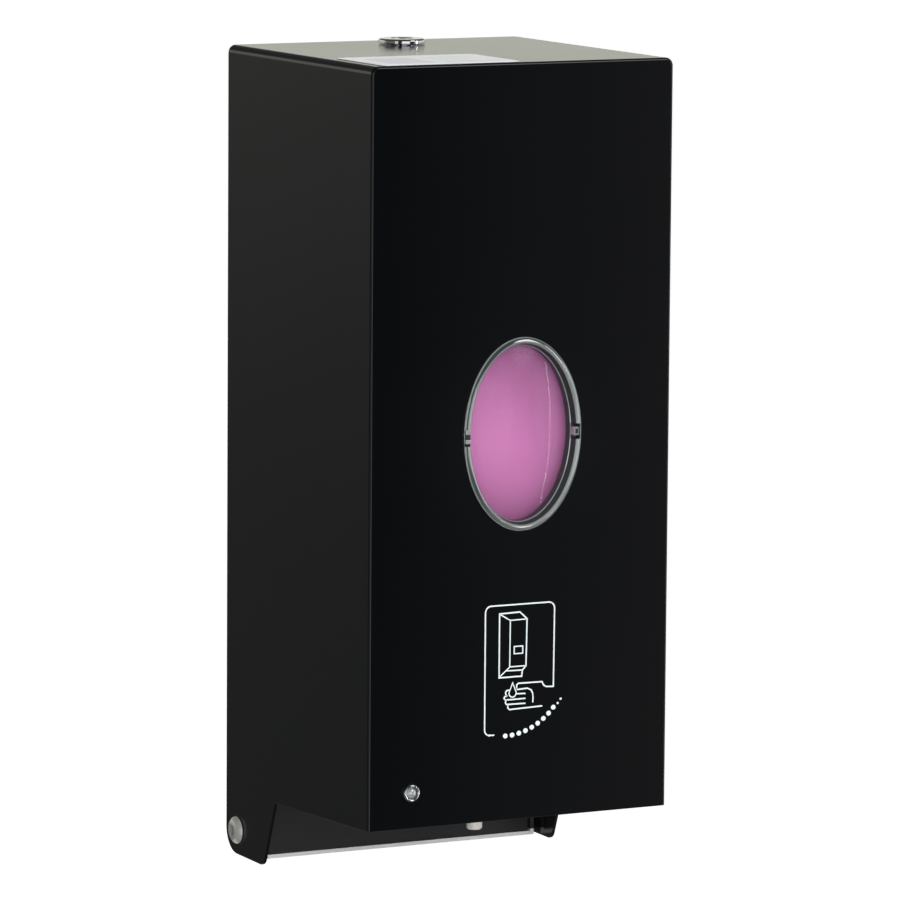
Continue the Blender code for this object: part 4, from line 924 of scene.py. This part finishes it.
def build_tank():
    low, high = span("soap_tank")
    wall = 2.0
    body_z = (76.0, 230.0)
    cap_pin = middle("cap_pin")
    fill = Vector((cap_pin.x, cap_pin.y - 20.0))
    outlet = middle("nozzle")

    def shell(name, inset):
        return block(name, (low.x + inset, high.x - inset), (low.y + inset, high.y - inset),
                     (body_z[0] + inset, body_z[1] - inset), 8 - inset, 8)

    tank, cavity = shell("tank_shell", 0), shell("cavity", wall)
    neck = post("neck", *fill, body_z[1] - 1, body_z[1] + 3, 16.0, 64)
    spout = post("spout", 0, outlet.y, low.z, body_z[0] + 1, 5.0)
    mouth = post("mouth", *fill, body_z[1] - 6, body_z[1] + 9, 14.0, 64)
    bore = post("bore", 0, outlet.y, low.z - 9, body_z[0] + 4, 3.5)
    ears = [slab("ear", x, cap_pin.y, 3, 6, body_z[1] - 1, high.z, 1.2, 3, lambda p: p.z > 2)
            for x in (fill.x - 12, fill.x + 12)]
    pin = bar("pin", "X", cap_pin, 50, 1.4, 24)
    join(tank, neck, spout, *ears)
    cut(tank, cavity, mouth, bore, pin)
    show(tank, 0.15, "root", "milky_plastic", "soap_tank")
    seam_y = (low.y + high.y) / 2
    edges = [rounded((low.x - out, high.x + out), (body_z[0] - out, body_z[1] + out), 8 + out, 8)
             for out in (0.5, -0.6)]
    seam = [plate("seam", edges, "-Y", seam_y - 0.4, seam_y + 0.4)]
    marks = [block("mark", (high.x - 12, high.x - 12 + (6 if i % 2 else 9)), (low.y - 0.25, low.y + 0.1),
                   (95 + 12 * i, 95.8 + 12 * i)) for i in range(11)]
    show(merged("tank_seam", seam + marks), 0, "root", "milky_plastic")
    low, high = span("liquid_soap")
    soap = block("soap_fill", (low.x, high.x), (low.y, high.y), (low.z, high.z), 5.7, 8,
                 lambda p: p.z < (high.z - low.z) / 2 - 0.01)
    show(soap, 0, "root", "pink_soap", "liquid_soap")
    carry_over("white_nylon", "tank_cap", width=0.3)
    carry_over("rubber", "cap_gasket", width=0.2)
    carry_over("stainless", "cap_pin", width=0.1)
    ring = turned("cap_ring", [
        (12.5, 0.0), (12.2, 0.45), (11.4, 0.45), (11.1, 0.0), (11.1, -0.3), (12.5, -0.3),
    ], "Z", (fill.x, fill.y, 236.45), 64)
    show(ring, 0, "tank_lid", "white_nylon")


# ---------------------------------------------------------------- pump, power and electronics

def build_drive():
    carry_over("grey_plastic", "pump_housing", "gear_case", "gear_case_lid", width=0.3)
    carry_over("zinc", "pump_cover", "pump_screw_1", "pump_screw_2", width=0.12)
    carry_over("white_nylon", "pump_drive_gear", "pump_idler_gear", "output_gear", "layshaft_gear",
               width=0.06)
    carry_over("brass", "motor_pinion", width=0.04)
    carry_over("stainless", "drive_shaft", "idler_shaft", "layshaft_axle", width=0.1)
    carry_over("rubber", "inlet_seal", "anti_drip_valve", width=0.1)
    spot, radius = middle("motor"), half_size("motor").y
    centre = (20.7, spot.y, spot.z)
    can = turned("motor_can", [
        (0, 25.5), (radius - 0.3, 25.5), (radius - 0.3, 25.0), (radius, 24.7), (radius, 1.2),
        (radius - 0.35, 0.35), (radius - 1.2, 0), (3.6, 0), (3.6, -1.0), (1.3, -1.0), (1.3, 7.0), (0, 7.0),
    ], "X", centre, 72)
    cut(can, slab("flat", 37.5, spot.y, 45, 40, spot.z + 10.6, spot.z + 20),
        slab("flat", 37.5, spot.y, 45, 40, spot.z - 20, spot.z - 10.6))
    show(can, 0.12, "root", "motor_can", "motor")
    cap = turned("motor_cap", [
        (0, 29.2), (3.2, 29.2), (3.4, 28.9), (3.4, 28.0), (9.5, 28.0), (10.6, 27.2), (10.6, 25.6), (0, 25.6),
    ], "X", centre, 64)
    show(cap, 0.15, "root", "grey_plastic")
    tabs = [slab("tab", 49.4, y, 2.4, 2.4, spot.z - 0.25, spot.z + 0.25, 0.1, 1)
            for y in (spot.y - 6.5, spot.y + 6.5)]
    show(merged("motor_tabs", tabs), 0, "root", "zinc")
    low, high = span("nozzle")
    nozzle = turned("outlet_tube", [
        (4.6, high.z), (4.6, 20.2), (4.2, 19.4), (3.2, 18.5), (3.0, 18.0), (3.0, low.z + 0.9),
        (2.85, low.z + 0.35), (2.5, low.z), (2.1, low.z + 0.1), (1.9, low.z + 0.5), (1.9, high.z),
    ], "Z", (0, middle("nozzle").y, 0), 64)
    show(nozzle, 0, "root", "milky_plastic", "nozzle", finish="nozzle_plastic")


def build_battery_pack():
    carry_over("black_plastic", "battery_box", "battery_door", width=0.25)
    for i in range(4):
        name = f"battery_{i + 1}"
        low, high = span(name)
        spot = middle(name)
        radius, length = half_size(name).x, high.z - low.z
        profile = [
            (0, length), (2.2, length), (2.6, length - 0.35), (2.75, length - 1.2), (5.9, length - 1.25),
            (6.1, length - 0.9), (radius - 0.25, length - 1.0), (radius, length - 1.5), (radius, 0.7),
            (radius - 0.4, 0.2), (5.4, 0.1), (5.2, 0.35), (0, 0.35)]
        if i in (0, 3):
            profile = [(r, length - h) for r, h in reversed(profile)]
        cell = turned(f"cell_{i + 1}", profile, "Z", (spot.x, spot.y, low.z), 64)
        show(cell, 0, "root", "cell", name)
        cell.data.materials.append(FINISH["zinc"])
        for face in cell.data.polygons:
            centre = face.center
            away = math.hypot(centre.x - spot.x * MM, centre.y - spot.y * MM)
            face.material_index = 1 if away < 5.9 * MM and abs(face.normal.z) > 0.3 or away < 2.8 * MM else 0
    low, high = span("battery_contacts")
    pack = middle("battery_contacts")
    turns, rise = 3.5, 1.1
    pieces = []
    for x in (pack.x - 8, pack.x + 8):
        pieces.append(slab("strip", x, pack.y, 9.0, high.y - low.y, low.z, low.z + 0.5, 0.2, 2, along_z))
        for y in (pack.y - 8, pack.y + 8):
            coil = []
            for t in (k / 12 for k in range(int(turns * 12) + 1)):
                spot = arc(x, y, 3.4 - 0.25 * t, 360 * t, 360 * t, 1)[0]
                coil.append((*spot, low.z + 0.6 + rise * t / turns))
            pieces.append(tube("coil", coil, 0.28, 8, 1))
    show(merged("cell_contacts", pieces), 0, "root", "zinc", "battery_contacts")


def build_board():
    carry_over("green_board", "circuit_board", width=0)
    carry_over("dark_window", "sensor_window", width=0.15)
    carry_over("black_plastic", "switch_body", width=0.15)
    carry_over("grey_plastic", "switch_knob", width=0.3)
    top = span("circuit_board")[1].z
    black, metal, white, cans = [], [], [], []

    def chip(x, y, long, wide, tall, pins):
        black.append(slab("chip", x, y, long, wide, top + 0.25, top + 0.25 + tall, 0.25, 2))
        for i in range(pins):
            pin_x = x - long / 2 + (i + 0.5) * long / pins
            for pin_y in (y - wide / 2 - 0.55, y + wide / 2 + 0.55):
                metal.append(slab("pin", pin_x, pin_y, 0.4, 1.1, top, top + 0.45, 0.08, 1))

    def connector(x, y, ways):
        wide = 2.5 * ways + 1.4
        body = slab("socket", x, y, wide, 5.2, top, top + 5.5, 0.3, 2)
        cut(body, slab("well", x, y, wide - 1.6, 3.6, top + 1.5, top + 9))
        white.append(body)
        for i in range(ways):
            metal.append(slab("post", x + (i - (ways - 1) / 2) * 2.5, y, 0.6, 0.6, top, top + 4.8, 0.1, 1))

    chip(-30, -58, 10.2, 6.0, 1.7, 8)
    chip(-9, -58, 5.0, 4.0, 1.5, 4)
    chip(-46, -62, 5.0, 4.0, 1.5, 4)
    chip(-38, -84, 5.0, 4.0, 1.4, 4)
    connector(-44, -50, 2)
    connector(-20, -50, 3)
    connector(6, -50, 2)
    for x, y, radius, tall in ((-52, -56, 2.5, 7.0), (-4, -66.5, 2.5, 6.0), (-14, -50, 2.0, 5.0)):
        cans.append(turned("can", [
            (0, tall), (radius - 0.5, tall), (radius - 0.1, tall - 0.35), (radius, tall - 0.8),
            (radius - 0.15, tall - 1.3), (radius, tall - 1.8), (radius, 0.1), (0, 0.1),
        ], "Z", (x, y, top), 40))
    cans.append(slab("crystal", -20.25, -58.75, 4.5, 3.5, top + 0.2, top + 3.4, 1.5, 5, along_z))
    for x, y, turn in (
            (-36, -66, 0), (-32, -66, 0), (-28, -66, 0), (-24, -66, 0), (-17, -64, 1), (-17, -68, 1),
            (-50, -70, 0), (-46, -78, 1), (-30, -80, 1), (-26, -90, 0), (-50, -92, 0), (2, -58, 1),
            (10, -60, 1), (-3, -55, 0)):
        body, cap = ((1.4, 1.2), (0.4, 1.2)) if turn else ((1.2, 1.4), (1.2, 0.4))
        black.append(slab("resistor", x, y, *body, top, top + 0.55))
        for shift in (-0.85, 0.85):
            metal.append(slab("end", x + shift * turn, y + shift * (1 - turn), *cap, top, top + 0.6))
    led = middle("indicator_led")
    for x in (led.x - 1.27, led.x + 1.27):
        metal.append(tube("lead", [
            (x, -107.0, led.z), (x, -105.2, led.z), (x, -104.3, led.z - 1.2), (x, -104.2, top),
        ], 0.25, 8, 5))
    show(merged("board_chips", black), 0, "root", "black_plastic")
    show(merged("board_metal", metal), 0, "root", "zinc")
    show(merged("board_sockets", white), 0, "root", "white_nylon")
    show(merged("board_cans", cans), 0, "root", "motor_can")


def build_sensors():
    led = middle("indicator_led")
    bulb = turned("status_led", [
        (0, 6.0), (0.7, 5.85), (1.3, 5.45), (1.75, 4.8), (1.9, 4.1), (1.9, 0.9), (2.4, 0.9), (2.4, 0), (0, 0),
    ], "-Y", (led.x, span("indicator_led")[1].y, led.z), 40)
    show(bulb, 0, "root", "clear_plastic", "indicator_led", finish="led_body")
    for node in ("ir_emitter", "ir_receiver"):
        spot = middle(node)
        eye = turned(node + "_bulb", [
            (0, 0), (2.9, 0), (2.9, -1.0), (2.5, -1.0), (2.5, -2.6), (2.3, -3.5), (1.6, -4.3), (0.8, -4.7),
            (0, -4.8),
        ], "Z", (spot.x, spot.y, span(node)[1].z), 40)
        show(eye, 0.05, "root", "dark_window", node)


def build_wires():
    """Loose wires from the motor, the cells and the switch to the board's sockets."""
    wires = (
        ("motor_wire_red", "red_wire", [
            (50.2, -38.6, 42), (51.8, -38.8, 40), (52.3, -40, 32), (50, -43, 19), (38, -46, 13),
            (22, -49, 12.5), (12, -50, 15.5), (7.3, -50, 16.5), (7.25, -50, 13)]),
        ("motor_wire_black", "black_wire", [
            (50.2, -51.3, 42), (52.0, -51.2, 40), (52.2, -50, 30), (49, -48, 18), (36, -48, 11.5),
            (20, -51, 11), (10, -51, 15), (5.2, -50, 16.5), (4.75, -50, 13)]),
        ("cell_wire_red", "red_wire", [
            (-52, -68.5, 62), (-52, -65.5, 60), (-50, -63, 48), (-47.5, -58, 30), (-45.8, -52, 18),
            (-45.3, -50, 16), (-45.25, -50, 13)]),
        ("cell_wire_black", "black_wire", [
            (-24, -68.5, 62), (-24, -65.5, 59), (-27, -62, 45), (-36, -56, 26), (-42, -51, 18),
            (-42.7, -50, 16), (-42.75, -50, 13)]),
        ("switch_wire_1", "white_wire", [
            (33, -98.2, 7), (32.5, -95, 6), (28, -88, 4.6), (22, -76, 4.4), (17.5, -64, 6.5), (14, -58, 13),
            (0, -53, 15), (-17, -50.5, 16), (-17.5, -50, 13)]),
        ("switch_wire_2", "black_wire", [
            (38, -98.2, 7), (37, -94, 5.4), (30, -86, 4.4), (24, -75, 4.2), (19, -63, 6), (15, -56.5, 12.6),
            (0, -51.6, 14), (-19, -50.4, 16), (-20, -50, 13)]),
    )
    for name, finish, points in wires:
        show(tube(name, points, 0.65, 12, 8), 0, "root", "rubber", finish=finish)


# ---------------------------------------------------------------- stage, light and camera

def build_stage():
    reach, level = (-20000, 20000), -900
    floor = plate("floor", [rounded(reach, reach, 4000, 12)], "Z", level - 5, level)
    made, tree = new_material("floor_white")
    base = blend_colours(tree, noise(tree, 900.0), (0.93, 0.93, 0.93), (0.96, 0.96, 0.96))
    floor.data.materials.append(dress(made, base, 0.9, **{
        "Emission Strength": 1.0, "Emission Color": (0.86, 0.86, 0.86, 1.0),
    }))
    floor.visible_glossy = False
    floor.visible_diffuse = False
    floor.visible_shadow = False


def build_world():
    """White behind the object; what its gloss mirrors is brightest at the back above the horizon."""
    world = bpy.data.worlds.new("studio")
    bpy.context.scene.world = world
    world.use_nodes = True
    tree = world.node_tree
    shine = tree.nodes["Background"]
    direction = add_node(tree, "ShaderNodeTexCoord").outputs["Generated"]
    x, y, height = add_node(tree, "ShaderNodeSeparateXYZ", {"Vector": direction}).outputs

    def ramp(value, first, last, stops):
        made = add_node(tree, "ShaderNodeValToRGB", {"Fac": scaled(tree, value, 0.0, 1.0, first, last)})
        points = made.color_ramp.elements
        while len(points) < len(stops):
            points.new(0.5)
        for point, (place, level) in zip(points, stops):
            point.position = (place - first) / (last - first)
            point.color = (*(level if isinstance(level, tuple) else (level,) * 3), 1.0)
        return made.outputs["Color"]

    def between(low, rising, falling, high):
        return times(tree, scaled(tree, height, 0.0, 1.0, low, rising),
                     scaled(tree, height, 1.0, 0.0, falling, high))

    ceiling = (0.74, 0.75, 0.66)
    back = ramp(height, -1.0, 1.0, [
        (-1.0, 1.0), (-0.65, 1.0), (-0.45, 0.1), (-0.3, (0.07, 0.075, 0.07)),
        (-0.19, (0.1, 0.105, 0.098)), (-0.14, (0.1, 0.105, 0.098)), (-0.07, (0.2, 0.205, 0.192)),
        (0.05, ceiling), (0.2, ceiling), (0.3, 0.1), (1.0, 0.08)])
    low_front = ramp(height, -1.0, 1.0, [
        (-1.0, 0.08), (-0.36, 0.1), (-0.19, (0.03, 0.03, 0.032)), (-0.07, (0.012, 0.014, 0.016)),
        (1.0, 0.05)])
    azimuth = times(tree, maths(tree, "ARCTAN2", x, times(tree, y, -1.0)), 180 / math.pi)
    panels = ramp(azimuth, -180.0, 180.0, [
        (-180, 0.12), (-62, 0.12), (-58, 0.7), (-46, 0.7), (-43, 0.0), (-27, 0.0), (-24, 1.0), (12, 1.0),
        (15, 0.0), (38, 0.0), (41, 0.7), (180, 0.7)])
    lit = blend_colours(tree, between(-0.34, -0.26, 0.2, 0.26), (0.0, 0.0, 0.0), panels)
    front = blend_colours(tree, 1.0, low_front, lit, "LIGHTEN")
    glow = ramp(azimuth, -180.0, 180.0, [
        (-180, 0.06), (18, 0.06), (25, 3.2), (42, 3.2), (50, 0.06), (180, 0.06)])
    front = blend_colours(tree, between(0.28, 0.34, 0.62, 0.7), front, glow)
    sides = scaled(tree, y, 0.0, 1.0, 0.3, 0.7)
    feed(tree, shine, {"Color": blend_colours(tree, sides, front, back)})
    plain = add_node(tree, "ShaderNodeBackground", {"Color": (1.0, 1.0, 1.0, 1.0)})
    seen = add_node(tree, "ShaderNodeLightPath").outputs["Is Camera Ray"]
    mix = add_node(tree, "ShaderNodeMixShader", {"Fac": seen, 1: shine.outputs[0], 2: plain.outputs[0]})
    feed(tree, tree.nodes["World Output"], {"Surface": mix.outputs[0]})


def heading(azimuth, elevation):
    """The direction from the object towards a lamp or the camera, for angles in radians."""
    return Vector((math.sin(azimuth) * math.cos(elevation), -math.cos(azimuth) * math.cos(elevation),
                   math.sin(elevation)))


def hang(lamp, power, target, towards, distance, mirrored=False):
    """Puts a lamp into the scene, aimed at the target; unless mirrored, nothing glossy shows it."""
    lamp.energy = power
    thing = place(lamp.name, lamp)
    thing.location = target + towards * distance
    thing.rotation_mode = "QUATERNION"
    thing.rotation_quaternion = towards.to_track_quat("Z", "Y")
    thing.visible_camera = False
    thing.visible_glossy = mirrored


def build_lights():
    for name, azimuth, elevation, distance, size, power in (
            ("key", -18.0, 11.0, 3.0, (1.8, 1.8), 55.0),
            ("bounce", -18.0, -24.0, 2.4, (1.4, 1.2), 20.0),
            ("back_left", -135.0, 20.0, 2.6, (1.4, 1.4), 14.0),
            ("above", -10.0, 80.0, 2.0, (0.8, 0.8), 24.0),
            ("strip", 54.5, -4.0, 2.45, (0.06, 2.4), 6.0)):
        lamp = bpy.data.lights.new(name, "AREA")
        lamp.shape = "RECTANGLE"
        lamp.size, lamp.size_y = size
        towards = heading(math.radians(azimuth), math.radians(elevation))
        hang(lamp, power, LIT_POINT, towards, distance, name == "strip")
    # A round pool of light on the soap, as wide as the window
    lamp = bpy.data.lights.new("window_spot", "SPOT")
    distance, radius = 2.5, 32.5 * MM
    lamp.spot_size = 2 * math.atan(radius / distance)
    lamp.spot_blend = 1.0
    lamp.shadow_soft_size = 0.02
    turn = math.radians(-27.0)
    towards = Vector((math.sin(turn), -math.cos(turn), 0.12)).normalized()
    target = (on_front("window_lens") + Vector((-6, 0, -2.5))) * MM
    hang(lamp, 270.0, target, towards, distance)


def build_camera():
    azimuth, elevation, roll = (math.radians(a) for a in (AZIMUTH, ELEVATION, ROLL))
    back = heading(azimuth, elevation)
    right = Vector((0.0, 0.0, 1.0)).cross(back).normalized()
    above = back.cross(right)
    rows = (right * math.cos(roll) + above * math.sin(roll),
            above * math.cos(roll) - right * math.sin(roll), back)
    camera = place("camera", bpy.data.cameras.new("camera"))
    turn = Matrix(rows).transposed().to_4x4()
    camera.matrix_world = Matrix.Translation(Vector(AIM) + back * DISTANCE) @ turn
    camera.data.lens = LENS
    camera.data.sensor_width = 36.0
    camera.data.clip_start, camera.data.clip_end = 0.05, 200.0
    bpy.context.scene.camera = camera


def main():
    for build in (
            build_camera, build_world, build_lights, build_stage,
            build_cover, build_window, build_indicator, build_lock, build_label, build_pictogram,
            build_wall_plate, build_guard, build_pivots, build_chassis, build_tank, build_drive,
            build_battery_pack, build_board, build_sensors, build_wires):
        build()
    bpy.context.scene.view_settings.view_transform = "Standard"


main()
